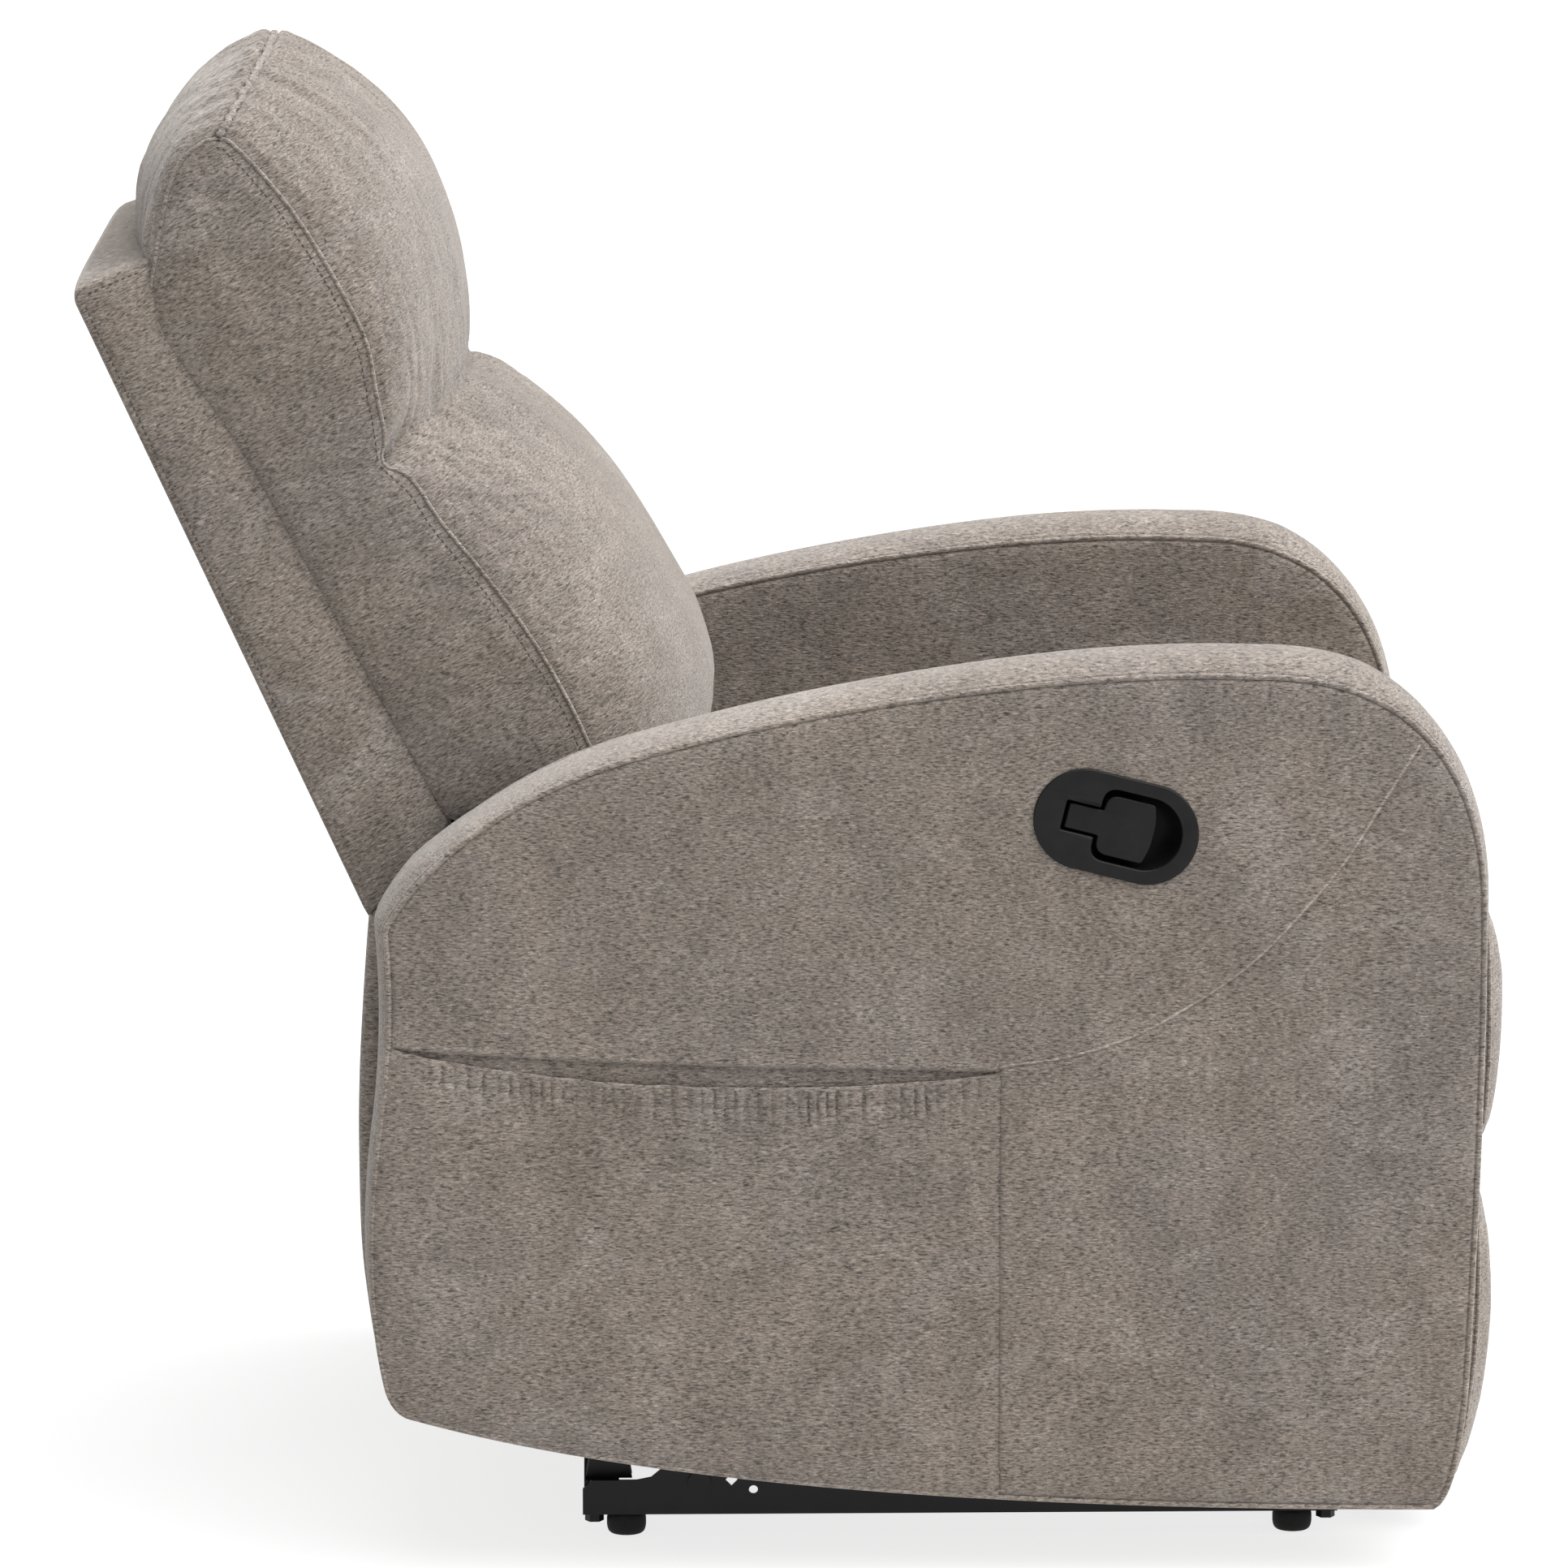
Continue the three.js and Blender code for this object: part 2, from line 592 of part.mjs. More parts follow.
add("arm_pad_right", armPad(), FABRIC);
add("arm_pad_left", armPadWithPocket(), FABRIC);
add("pocket_panel", pocketPanel(), FABRIC);
add("arm_panel_right", armPanel(), TIMBER);
add("arm_panel_left", cut(mirror(armPanel()), cableBore()), TIMBER);
addPair("arm_bolt_front", armBolt(ARM_BOLT.front), STEEL_BLACK);
addPair("arm_bolt_rear", armBolt(ARM_BOLT.rear), STEEL_BLACK);
add("handle_bezel", handleBezel(), PLASTIC);
add("handle_paddle", handlePaddle(), PLASTIC);
add("release_cable", cable(CABLE.radius, CABLE.start), PLASTIC);
add("release_latch", releaseLatch(), SPRING_STEEL);

// ---- seat ----------------------------------------------------------------------------------
const SEAT = { railFront: [-352, -327], railRear: [99, 124], railZ: [314, 346], bottom: 352.5 };

function seatRail([y0, y1]) {
  const end = LAYER.side - GAP;
  return block(-end, end, y0, y1, ...SEAT.railZ);
}

// A sinuous spring from the front rail to the rear one, lying on both.
function seatSpring(x) {
  const wire = 2;
  const [start, end] = [SEAT.railFront[0] + 4, SEAT.railRear[1] - 4];
  const waves = 9;
  const points = [];
  for (let i = 0; i <= 4 * waves; i++) {
    const swing = 22 * Math.sin((i * Math.PI) / 2);
    points.push(new THREE.Vector3(x + swing, start + ((end - start) * i) / (4 * waves), 0));
  }
  const section = new THREE.Shape().absarc(0, 0, wire, 0, 2 * Math.PI, false);
  const geometry = new THREE.ExtrudeGeometry(section, {
    steps: 5 * waves,
    curveSegments: 3,
    bevelEnabled: false,
    extrudePath: new THREE.CatmullRomCurve3(points),
  });
  return geometry.translate(0, 0, SEAT.railZ[1] + wire + GAP);
}

function seatCushion() {
  const shape = new THREE.Shape();
  shape.moveTo(-421, SEAT.bottom);
  shape.lineTo(-421, 448);
  shape.quadraticCurveTo(-452, 454, -449, 468);
  shape.quadraticCurveTo(-440, 482, -400, 484);
  shape.quadraticCurveTo(-150, 488, 40, 462);
  shape.quadraticCurveTo(112, 450, 118, 430);
  shape.lineTo(118, SEAT.bottom);
  shape.lineTo(-421, SEAT.bottom);
  return slabX(shape, -SEAT_HALF, SEAT_HALF, 5);
}

add("seat_rail_front", seatRail(SEAT.railFront), TIMBER);
add("seat_rail_rear", seatRail(SEAT.railRear), TIMBER);
[-150, 0, 150].forEach((x, i) => add("seat_spring_" + (i + 1), seatSpring(x), SPRING_STEEL));
add("seat_cushion", seatCushion(), FABRIC);
const stretcherEnd = ARM_INNER - GAP;
add("rear_stretcher", block(-stretcherEnd, stretcherEnd, 232, 256, 118, 168), TIMBER);

// The cloth that hangs behind the chair from the back to the floor gap.
function backFlap() {
  const shape = new THREE.Shape();
  shape.moveTo(279, 98);
  shape.quadraticCurveTo(296, 160, 296, 250);
  shape.lineTo(295, 322);
  shape.lineTo(292, 322);
  shape.lineTo(293, 250);
  shape.quadraticCurveTo(293, 160, 276, 98);
  return slabX(shape, -BACK_HALF, BACK_HALF, 5);
}
add("back_flap", backFlap(), FABRIC);

// ---- back ----------------------------------------------------------------------------------
const backLength = span(BACK_FOOT, BACK_HEAD);
const backUp = BACK_HEAD.map((v, i) => (v - BACK_FOOT[i]) / backLength);

// A point on the back: this far up its rear face, and this deep towards the sitter.
const onBack = (up, deep) => [
  BACK_FOOT[0] + backUp[0] * up - backUp[1] * deep,
  BACK_FOOT[1] + backUp[1] * up + backUp[0] * deep,
];
const BACK = { foot: 35, footDeep: 79, topDeep: 52, postDeep: [8, 44], postUp: [12, 448] };

// The cover behind the timber: rear, sides and top, open towards the cushions and below.
function backShell() {
  const outer = outline([
    onBack(0, 0), onBack(backLength, 0), onBack(backLength - 4, BACK.topDeep),
    onBack(BACK.foot, BACK.footDeep),
  ]);
  const inner = outline([
    onBack(-60, COVER), onBack(backLength - COVER, COVER),
    onBack(backLength - COVER - 4, BACK.topDeep + 60), onBack(-60, 150),
  ]);
  return cut(
    slabX(outer, -BACK_HALF, BACK_HALF),
    slabX(inner, COVER - BACK_HALF, BACK_HALF - COVER),
  );
}

// A timber of the back between two heights.
function backTimber(low, high, x0, x1) {
  const [near, far] = BACK.postDeep;
  const shape = outline([
    onBack(low, near), onBack(high, near), onBack(high, far), onBack(low, far),
  ]);
  return slabX(shape, x0, x1);
}

function backBracket() {
  const [y, z] = PIVOT.backHinge;
  const shape = outline([
    [y - 13, z + 4], [y - 13, z - 8], [y - 5, z - 15], [y + 10, z - 13], [y + 70, z + 40],
    onBack(8, 14), onBack(120, 14), onBack(130, 22), onBack(130, 32), onBack(120, 40),
    onBack(20, 42), [y + 55, z + 75], [y - 6, z + 15],
  ]);
  const plate = slabX(shape, LAYER.linkA, LAYER.linkA + STEEL);
  return join(plate, ...rivet(PIVOT.backHinge, LAYER.linkA + 1, LAYER.side + STEEL));
}

const postOuter = LAYER.linkA - GAP;
const POST_WIDTH = 26;
addPair("back_bracket", backBracket(), STEEL_BLACK);
addPair("back_post", backTimber(...BACK.postUp, postOuter - POST_WIDTH, postOuter), TIMBER);
const railEnd = postOuter - POST_WIDTH - GAP;
add("back_rail_top", backTimber(412, 448, -railEnd, railEnd), TIMBER);
add("back_rail_bottom", backTimber(40, 76, -railEnd, railEnd), TIMBER);
add("back_shell", backShell(), FABRIC);

// The side outlines of the two front cushions meet in the valley below the headrest.
const VALLEY = [258, 737];

function headCushion() {
  const shape = new THREE.Shape();
  shape.moveTo(...VALLEY);
  shape.quadraticCurveTo(234, 752, 228, 800);
  shape.quadraticCurveTo(231, 860, 252, 916);
  shape.quadraticCurveTo(290, 985, 350, 1005);
  shape.quadraticCurveTo(395, 1000, 420, 960);
  shape.quadraticCurveTo(440, 930, 450, 895);
  shape.lineTo(442, 877.5);
  shape.lineTo(431, 876);
  shape.lineTo(...onBack(330, 61));
  shape.lineTo(...VALLEY);
  return pillowX(shape, 268, 14);
}

function lumbarCushion() {
  const shape = new THREE.Shape();
  shape.moveTo(...VALLEY);
  shape.quadraticCurveTo(236, 746, 212, 777);
  shape.quadraticCurveTo(110, 690, 66, 600);
  shape.quadraticCurveTo(46, 545, 50, 505);
  shape.quadraticCurveTo(62, 482, 110, 476);
  shape.lineTo(...onBack(36, 82));
  shape.lineTo(...onBack(328, 61));
  shape.lineTo(...VALLEY);
  return pillowX(shape, 268, 8);
}
add("head_cushion", headCushion(), FABRIC);
add("lumbar_cushion", lumbarCushion(), FABRIC);

export default chair;
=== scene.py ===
"""The looks of a recliner armchair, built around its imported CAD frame.

Metres, +Z up; the chair faces -Y and its release handle is on the -X arm. Upholstery outlines
are (y, z) lines in millimetres, because that is how the chair was drawn.
"""

import json
import math

import bmesh
import bpy
import numpy as np
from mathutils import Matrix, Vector, noise
from mathutils.bvhtree import BVHTree
from mathutils.geometry import delaunay_2d_cdt
from mathutils.kdtree import KDTree

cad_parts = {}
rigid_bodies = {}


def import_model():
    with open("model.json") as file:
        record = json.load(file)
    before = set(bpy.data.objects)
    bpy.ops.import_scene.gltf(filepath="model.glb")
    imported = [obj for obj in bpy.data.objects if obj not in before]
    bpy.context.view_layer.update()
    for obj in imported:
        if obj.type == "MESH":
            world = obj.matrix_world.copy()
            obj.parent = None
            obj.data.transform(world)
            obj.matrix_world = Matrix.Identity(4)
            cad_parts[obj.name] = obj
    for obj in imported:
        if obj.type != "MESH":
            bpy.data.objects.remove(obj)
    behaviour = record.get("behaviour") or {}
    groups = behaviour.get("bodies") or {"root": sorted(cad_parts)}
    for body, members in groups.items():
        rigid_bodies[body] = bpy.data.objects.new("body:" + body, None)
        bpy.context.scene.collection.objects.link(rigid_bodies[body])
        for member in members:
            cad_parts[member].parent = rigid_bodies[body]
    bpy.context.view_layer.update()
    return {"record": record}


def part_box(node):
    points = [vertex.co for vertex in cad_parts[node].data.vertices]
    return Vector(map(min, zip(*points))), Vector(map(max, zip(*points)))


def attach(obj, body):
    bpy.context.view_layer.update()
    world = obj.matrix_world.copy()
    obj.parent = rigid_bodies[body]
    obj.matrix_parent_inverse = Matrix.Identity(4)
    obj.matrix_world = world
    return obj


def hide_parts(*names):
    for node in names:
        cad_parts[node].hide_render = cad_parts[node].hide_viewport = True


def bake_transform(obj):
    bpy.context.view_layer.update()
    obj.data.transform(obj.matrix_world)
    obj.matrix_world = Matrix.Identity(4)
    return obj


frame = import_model()
MM = 0.001

# ---- sizes -------------------------------------------------------------------------------
ARM_LOW, ARM_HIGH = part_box("arm_pad_right")
ARM_INNER, ARM_OUTER = ARM_LOW[0], ARM_HIGH[0]
SHELL_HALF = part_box("back_shell")[1][0]
BACK_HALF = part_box("lumbar_cushion")[1][0]
BACK_LEAN = math.radians(24.6)  # the back's rear face from upright

# The handle's middle, and its own axes: towards the front, upwards, and out of the arm.
HANDLE_AT = np.array([-ARM_OUTER, -0.211, 0.512])
HANDLE_TILT = math.radians(14)
HANDLE_AXES = np.array(
    [
        [0, -math.cos(HANDLE_TILT), -math.sin(HANDLE_TILT)],
        [0, -math.sin(HANDLE_TILT), math.cos(HANDLE_TILT)],
        [-1, 0, 0],
    ]
)
BEZEL_LENGTH, BEZEL_WIDTH = 111.5, 68


# ---- curves ------------------------------------------------------------------------------
def cubic(p0, p1, p2, p3, count=30):
    """Points on a cubic curve, without its last point."""
    t = np.linspace(0, 1, count, endpoint=False)[:, None]
    p0, p1, p2, p3 = (np.array(p, float) for p in (p0, p1, p2, p3))
    return (1 - t) ** 3 * p0 + 3 * t * (1 - t) ** 2 * p1 + 3 * t**2 * (1 - t) * p2 + t**3 * p3


def quad(p0, p1, p2, count=16):
    """Points on a quadratic curve, without its last point."""
    p0, p1, p2 = (np.array(p, float) for p in (p0, p1, p2))
    return cubic(p0, p0 + (p1 - p0) * 2 / 3, p2 + (p1 - p2) * 2 / 3, p2, count)


def even(points, count, closed=False):
    """The same line with count points spaced evenly along it."""
    pts = np.array(points, float)
    if closed and np.linalg.norm(pts[0] - pts[-1]) > 1e-9:
        pts = np.vstack([pts, pts[0]])
    run = np.concatenate([[0], np.cumsum(np.linalg.norm(np.diff(pts, axis=0), axis=1))])
    at = np.linspace(0, run[-1], count, endpoint=not closed)
    return np.stack([np.interp(at, run, pts[:, k]) for k in range(pts.shape[1])], axis=1)


def through(points, count):
    """A smooth curve through a few points, with count points spaced evenly along it."""
    pts = np.array(points, float)
    pts = np.vstack([2 * pts[0] - pts[1], pts, 2 * pts[-1] - pts[-2]])
    t = np.linspace(0, 1, 24, endpoint=False)[:, None]
    fine = []
    for a, b, c, d in zip(pts, pts[1:], pts[2:], pts[3:]):
        bend = (2 * a - 5 * b + 4 * c - d) * t**2 + (3 * b - a - 3 * c + d) * t**3
        fine.append(b + 0.5 * ((c - a) * t + bend))
    return even(np.vstack(fine + [pts[-2][None]]), count)


def looped(outline):
    """A closed outline with its first point again at its end."""
    return np.vstack([outline, outline[:1]])


def outward(points):
    """Unit normals of a closed anticlockwise outline, pointing out of it."""
    step = np.roll(points, -1, axis=0) - np.roll(points, 1, axis=0)
    normal = np.stack([step[:, 1], -step[:, 0]], axis=1)
    return normal / np.linalg.norm(normal, axis=1)[:, None]


def sideways(line):
    """Unit normals of an open line, to its left."""
    step = np.gradient(line, axis=0)
    normal = np.stack([-step[:, 1], step[:, 0]], axis=1)
    return normal / np.linalg.norm(normal, axis=1)[:, None]


def at_x(x, line):
    """A (y, z) line as 3-D points at one x."""
    return np.column_stack([np.full(len(line), x), line])


def anticlockwise(points):
    """A closed outline in the order that outward needs."""
    area = np.cross(points, np.roll(points, -1, axis=0)).sum()
    return points if area > 0 else points[::-1]


def distance_to(points, line):
    """Each point's distance to a line of points, and which side of it the point is on."""
    p = np.asarray(points, float)
    best = np.full(len(p), 1e9)
    side = np.zeros(len(p))
    for a, b in zip(line[:-1], line[1:]):
        seg = b - a
        size = seg @ seg + 1e-18
        t = np.clip(((p - a) @ seg) / size, 0, 1)
        gap = p - a - t[:, None] * seg
        d = np.linalg.norm(gap, axis=1)
        near = d < best
        best[near] = d[near]
        side[near] = np.sign(seg[0] * gap[near, 1] - seg[1] * gap[near, 0])
    return best, side


def inside(points, outline):
    """Which points lie inside a closed outline."""
    y, z = points[:, 0], points[:, 1]
    hit = np.zeros(len(points), bool)
    for (y0, z0), (y1, z1) in zip(outline, np.roll(outline, -1, axis=0)):
        crosses = (z0 > z) != (z1 > z)
        hit ^= crosses & (y < (y1 - y0) * (z - z0) / (z1 - z0 + 1e-18) + y0)
    return hit


def fade(value, start, end):
    """0 before start, 1 after end, smooth between."""
    t = np.clip((np.asarray(value, float) - start) / (end - start), 0, 1)
    return t * t * (3 - 2 * t)


def bump(distance, at, width):
    """A soft ridge of height 1 at a distance, about as wide as given."""
    return np.exp(-(((distance - at) / width) ** 2))


def swell(gap, height, reach):
    """How far a panel stands out, at a distance from the seam that it rises from."""
    return height * (1 - np.exp(-gap / reach))


def rough(points, scale, seed):
    """Smooth noise, about -0.5 to 0.5, at 2-D or 3-D points; the same on every run."""
    pts = np.asarray(points, float)
    if pts.shape[1] == 2:
        pts = np.column_stack([pts, np.zeros(len(pts))])
    pts = pts * scale + np.array([7.31, 3.17, 5.71]) * seed
    return np.array([noise.noise(Vector(p)) for p in pts])


def spread(line, stops):
    """Values all along a closed line, from a few stops that are a (y, z) place and its value."""
    steps = np.linalg.norm(np.roll(line, -1, axis=0) - line, axis=1)
    run = np.cumsum(steps) - steps
    at = [run[np.argmin(np.linalg.norm(line - stop[:2], axis=1))] for stop in stops]
    return np.interp(run, at, [stop[2] for stop in stops], period=steps.sum())


def arc(centre, radius, start, end, count=14):
    """Points on an arc between two angles in degrees."""
    turn = np.radians(np.linspace(start, end, count))
    return np.array(centre) + radius * np.column_stack([np.cos(turn), np.sin(turn)])


def stadium(length, width):
    """An outline with straight sides and round ends."""
    reach = (length - width) / 2
    return np.vstack(
        [arc((reach, 0), width / 2, -90, 90, 40), arc((-reach, 0), width / 2, 90, 270, 40)]
    )


# ---- meshes ------------------------------------------------------------------------------
def mesh_object(name, verts, faces):
    """A smooth object from vertices in metres; vertices that coincide become one."""
    mesh = bpy.data.meshes.new(name)
    mesh.from_pydata([tuple(v) for v in verts], [], [tuple(f) for f in faces])
    bm = bmesh.new()
    bm.from_mesh(mesh)
    bmesh.ops.remove_doubles(bm, verts=bm.verts, dist=1e-5)
    bmesh.ops.recalc_face_normals(bm, faces=bm.faces)
    bm.to_mesh(mesh)
    bm.free()
    smooth(mesh)
    return placed(name, mesh)


def placed(name, data):
    obj = bpy.data.objects.new(name, data)
    bpy.context.collection.objects.link(obj)
    return obj


def evaluated(obj):
    """An object with its modifiers and curves worked out."""
    return obj.evaluated_get(bpy.context.evaluated_depsgraph_get())


def smooth(mesh):
    mesh.polygons.foreach_set("use_smooth", [True] * len(mesh.polygons))


def coords(obj):
    flat = np.zeros(len(obj.data.vertices) * 3)
    obj.data.vertices.foreach_get("co", flat)
    return flat.reshape(-1, 3)


def set_coords(obj, points):
    obj.data.vertices.foreach_set("co", np.asarray(points, float).ravel())
    obj.data.update()


def normals(obj):
    flat = np.zeros(len(obj.data.vertices) * 3)
    obj.data.vertex_normals.foreach_get("vector", flat)
    return flat.reshape(-1, 3)


def apply_modifiers(obj):
    mesh = bpy.data.meshes.new_from_object(evaluated(obj))
    obj.modifiers.clear()
    obj.data = mesh
    smooth(mesh)
    return obj


def thicken(obj, thickness, offset):
    """Gives a surface a thickness in metres, behind its faces at offset -1 and in front at 1."""
    solid = obj.modifiers.new("thickness", "SOLIDIFY")
    solid.thickness = thickness
    solid.offset = offset
    return apply_modifiers(obj)


def join_objects(first, *others):
    """Adds the others' meshes to the first object."""
    bm = bmesh.new()
    bm.from_mesh(first.data)
    for other in others:
        bm.from_mesh(other.data)
        bpy.data.objects.remove(other)
    bm.to_mesh(first.data)
    bm.free()
    smooth(first.data)
    return first


def quads(rows, columns, around=True, closed=False, start=0):
    """Faces between rows of vertices: around joins each row's ends, closed joins the end rows."""
    faces = []
    for r in range(rows if closed else rows - 1):
        a, b = start + r * columns, start + (r + 1) % rows * columns
        for i in range(columns if around else columns - 1):
            j = (i + 1) % columns
            faces.append((a + i, a + j, b + j, b + i))
    return faces


def tube(name, path, radius, sides=8, closed=False):
    """A round bead along a 3-D line in metres."""
    pts = np.array(path, float)
    if closed:
        tangent = np.roll(pts, -1, axis=0) - np.roll(pts, 1, axis=0)
    else:
        tangent = np.gradient(pts, axis=0)
    tangent /= np.linalg.norm(tangent, axis=1)[:, None] + 1e-12
    up = np.array([1.0, 0, 0]) if abs(tangent[0][0]) < 0.9 else np.array([0, 0, 1.0])
    turn = 2 * math.pi * np.arange(sides) / sides
    verts = []
    for point, along in zip(pts, tangent):
        up = up - along * (up @ along)
        up /= np.linalg.norm(up)
        across = np.cross(along, up)
        verts.extend(point + radius * (np.outer(np.cos(turn), up) + np.outer(np.sin(turn), across)))
    faces = quads(len(pts), sides, closed=closed)
    if not closed:
        faces.append(tuple(range(sides - 1, -1, -1)))
        faces.append(tuple(range((len(pts) - 1) * sides, len(pts) * sides)))
    return mesh_object(name, verts, faces)


# ---- sewn boxes --------------------------------------------------------------------------
EDGE_ROWS = (0.9, 2, 3.2, 4.6, 6.4, 9, 13, 18)  # mm from a seam, where the mesh is finest
BAND_PITCH = 12  # mm between a band's rows, away from its seams


def panel_points(outline, seams, grid):
    """Points and triangles of a flat (y, z) panel, finer beside its edge and its seams."""
    edge = outward(outline)
    lines = [outline]
    for depth in EDGE_ROWS:
        lines.append(outline - edge * depth)
    rows = np.vstack(lines[1:])
    keep = inside(rows, outline)
    gap, _ = distance_to(rows, looped(outline))
    depths = np.repeat(EDGE_ROWS, len(outline))
    rows = rows[keep & (gap > depths * 0.93)]
    points = [outline, rows]
    for seam in seams:
        across = sideways(seam)
        offsets = sorted({0.0, *EDGE_ROWS[:6], *(-v for v in EDGE_ROWS[:6])})
        band = np.vstack([seam + across * v for v in offsets])
        gap, _ = distance_to(band, looped(outline))
        points.append(band[inside(band, outline) & (gap > 1.2)])
    low, high = outline.min(0), outline.max(0)
    ys, zs = np.meshgrid(np.arange(low[0], high[0], grid), np.arange(low[1], high[1], grid))
    ys = ys + grid / 2 * (np.arange(len(ys)) % 2)[:, None]
    body = np.stack([ys.ravel(), zs.ravel()], axis=1)
    body = body[inside(body, outline)]
    gap, _ = distance_to(body, looped(outline))
    body = body[gap > EDGE_ROWS[-1] + grid * 0.4]
    for seam in seams:
        gap, _ = distance_to(body, seam)
        body = body[gap > EDGE_ROWS[5] + grid * 0.4]
    points = np.vstack(points + [body])
    ring = list(range(len(outline)))
    edges = [(a, (a + 1) % len(ring)) for a in ring]
    flat, _, triangles, *_ = delaunay_2d_cdt(
        [Vector(p) for p in points], edges, [ring], 1, 1e-4
    )
    return np.array([tuple(p) for p in flat]), triangles


def boxed(name, seam, middle, x_low, x_high, crown, panel, seams=((), ()), grid=9):
    """A sewn box: a band between two equal side seams, and a side panel inside each.

    seam and middle are closed (y, z) loops with matching points: the band runs from seam at
    x_low out to middle and back to seam at x_high. crown(part, near) gives how far towards middle
    the band has come, and how many mm further out it stands: part is -1 to 1 across the band and
    near the distance to a seam in mm. panel(points, gap, end) is how far the side panel at the end
    -1 or 1 stands out of its seam's plane, in mm, gap being each point's distance to the seam.
    """
    width = x_high - x_low
    near = [0, *EDGE_ROWS, 26, 38, 54, 76]
    near = [v for v in near if v < width / 2 - 6]
    centre = np.linspace(near[-1], width - near[-1], max(3, int(width / BAND_PITCH)))[1:-1]
    across = np.array([*near, *centre, *[width - v for v in reversed(near)]])
    verts = []
    for at in across:
        part = 2 * at / width - 1
        distance = min(at, width - at)
        pull, lift = crown(part, distance)
        out = outward(seam)
        line = seam + (middle - seam) * np.reshape(pull, (-1, 1)) + out * np.reshape(lift, (-1, 1))
        verts.append(at_x(x_low + at, line))
    faces = quads(len(across), len(seam))
    start = len(across) * len(seam)
    loop = looped(seam)
    for x, side, lines in ((x_low, -1, seams[0]), (x_high, 1, seams[1])):
        flat, triangles = panel_points(seam, lines, grid)
        gap, _ = distance_to(flat, loop)
        height = panel(flat, gap, side)
        height[gap < 1e-3] = 0
        verts.append(np.column_stack([x + side * height, flat]))
        faces.extend(tuple(start + v for v in t) for t in triangles)
        start += len(flat)
    return mesh_object(name, np.vstack(verts) * MM, faces)


def shoulder(near, round_over, lip, height):
    """How a band rises from its seams: a rounded shoulder, and a folded lip beside each seam."""
    rise = (1 - (1 - min(near / round_over, 1)) ** 2.2) ** 0.7
    return height * rise + lip * (bump(near, 2.2, 1.7) - 0.45 * bump(near, 5.6, 1.1))


def crowned(power, root):
    """How a plain padded band comes towards its middle line from its seams."""
    return lambda part, near: ((1 - abs(part) ** power) ** root, 0.0)


# ---- soft pieces by simulation -----------------------------------------------------------
SIM_FRAMES = 20


def on_sides(line, half):
    """A (y, z) line in mm as two 3-D lines in metres, one on each side of the chair."""
    return [at_x(side * half, line) * MM for side in (-1, 1)]


def nearest(points, lines):
    """Each point's distance to the nearest vertex of some 3-D lines, in metres."""
    spots = np.vstack([even(line, 2 * len(line)) for line in lines])
    tree = KDTree(len(spots))
    for i, spot in enumerate(spots):
        tree.insert(spot, i)
    tree.balance()
    return np.array([tree.find(p)[2] for p in points])


def inflate(obj, pinned, voxel, cap, shrink):
    """Blows a closed cover up as cloth, held where it is sewn, and keeps the result."""
    hold = nearest(coords(obj), pinned)
    set_coords(obj, coords(obj) - normals(obj) * shrink * fade(hold, 0.01, 0.05)[:, None])
    remesh = obj.modifiers.new("remesh", "REMESH")
    remesh.mode = "VOXEL"
    remesh.voxel_size = voxel
    apply_modifiers(obj)
    before = coords(obj)
    hold = 1 - fade(nearest(before, pinned), voxel * 0.8, voxel * 2.2)
    group = obj.vertex_groups.new(name="sewn")
    for i in np.nonzero(hold > 0.01)[0]:
        group.add([int(i)], float(hold[i]), "REPLACE")
    cloth = obj.modifiers.new("cloth", "CLOTH")
    settings = cloth.settings
    settings.quality = 5
    settings.mass = 0.3
    settings.tension_stiffness = 12
    settings.compression_stiffness = 12
    settings.shear_stiffness = 4
    settings.bending_stiffness = 0.4
    settings.use_pressure = True
    settings.uniform_pressure_force = 3.6
    settings.shrink_min = -0.01
    settings.vertex_group_mass = group.name
    settings.effector_weights.gravity = 0
    cloth.point_cache.frame_start = 1
    cloth.point_cache.frame_end = SIM_FRAMES
    scene = bpy.context.scene
    for step in range(1, SIM_FRAMES + 1):
        scene.frame_set(step)
        after = evaluated(obj).data
    moved = np.zeros(len(before) * 3)
    after.vertices.foreach_get("co", moved)
    move = moved.reshape(-1, 3) - before
    size = np.linalg.norm(move, axis=1)[:, None] + 1e-12
    obj.modifiers.remove(cloth)
    obj.vertex_groups.remove(group)
    set_coords(obj, before + move * np.minimum(1, cap / size))
    scene.frame_set(1)
    obj.modifiers.new("fine", "SUBSURF").levels = 1
    return apply_modifiers(obj)


def push(obj, height):
    """Moves each vertex along its normal by its own height, in metres."""
    set_coords(obj, coords(obj) + normals(obj) * np.asarray(height)[:, None])
    return obj


def shell_tree(obj):
    return BVHTree.FromObject(obj, bpy.context.evaluated_depsgraph_get())


def laid_on(tree, line, lift=0.0):
    """A 3-D line moved onto the surface of a piece."""
    spots = []
    for point in line:
        where, normal, _, _ = tree.find_nearest(Vector(point))
        spots.append(where + normal * lift)
    return np.array(spots)


THREAD_LIFT = 0.00005  # metres from the cloth to the middle of a thread
THREAD_AWAY = 3.0  # mm from a seam to its topstitching


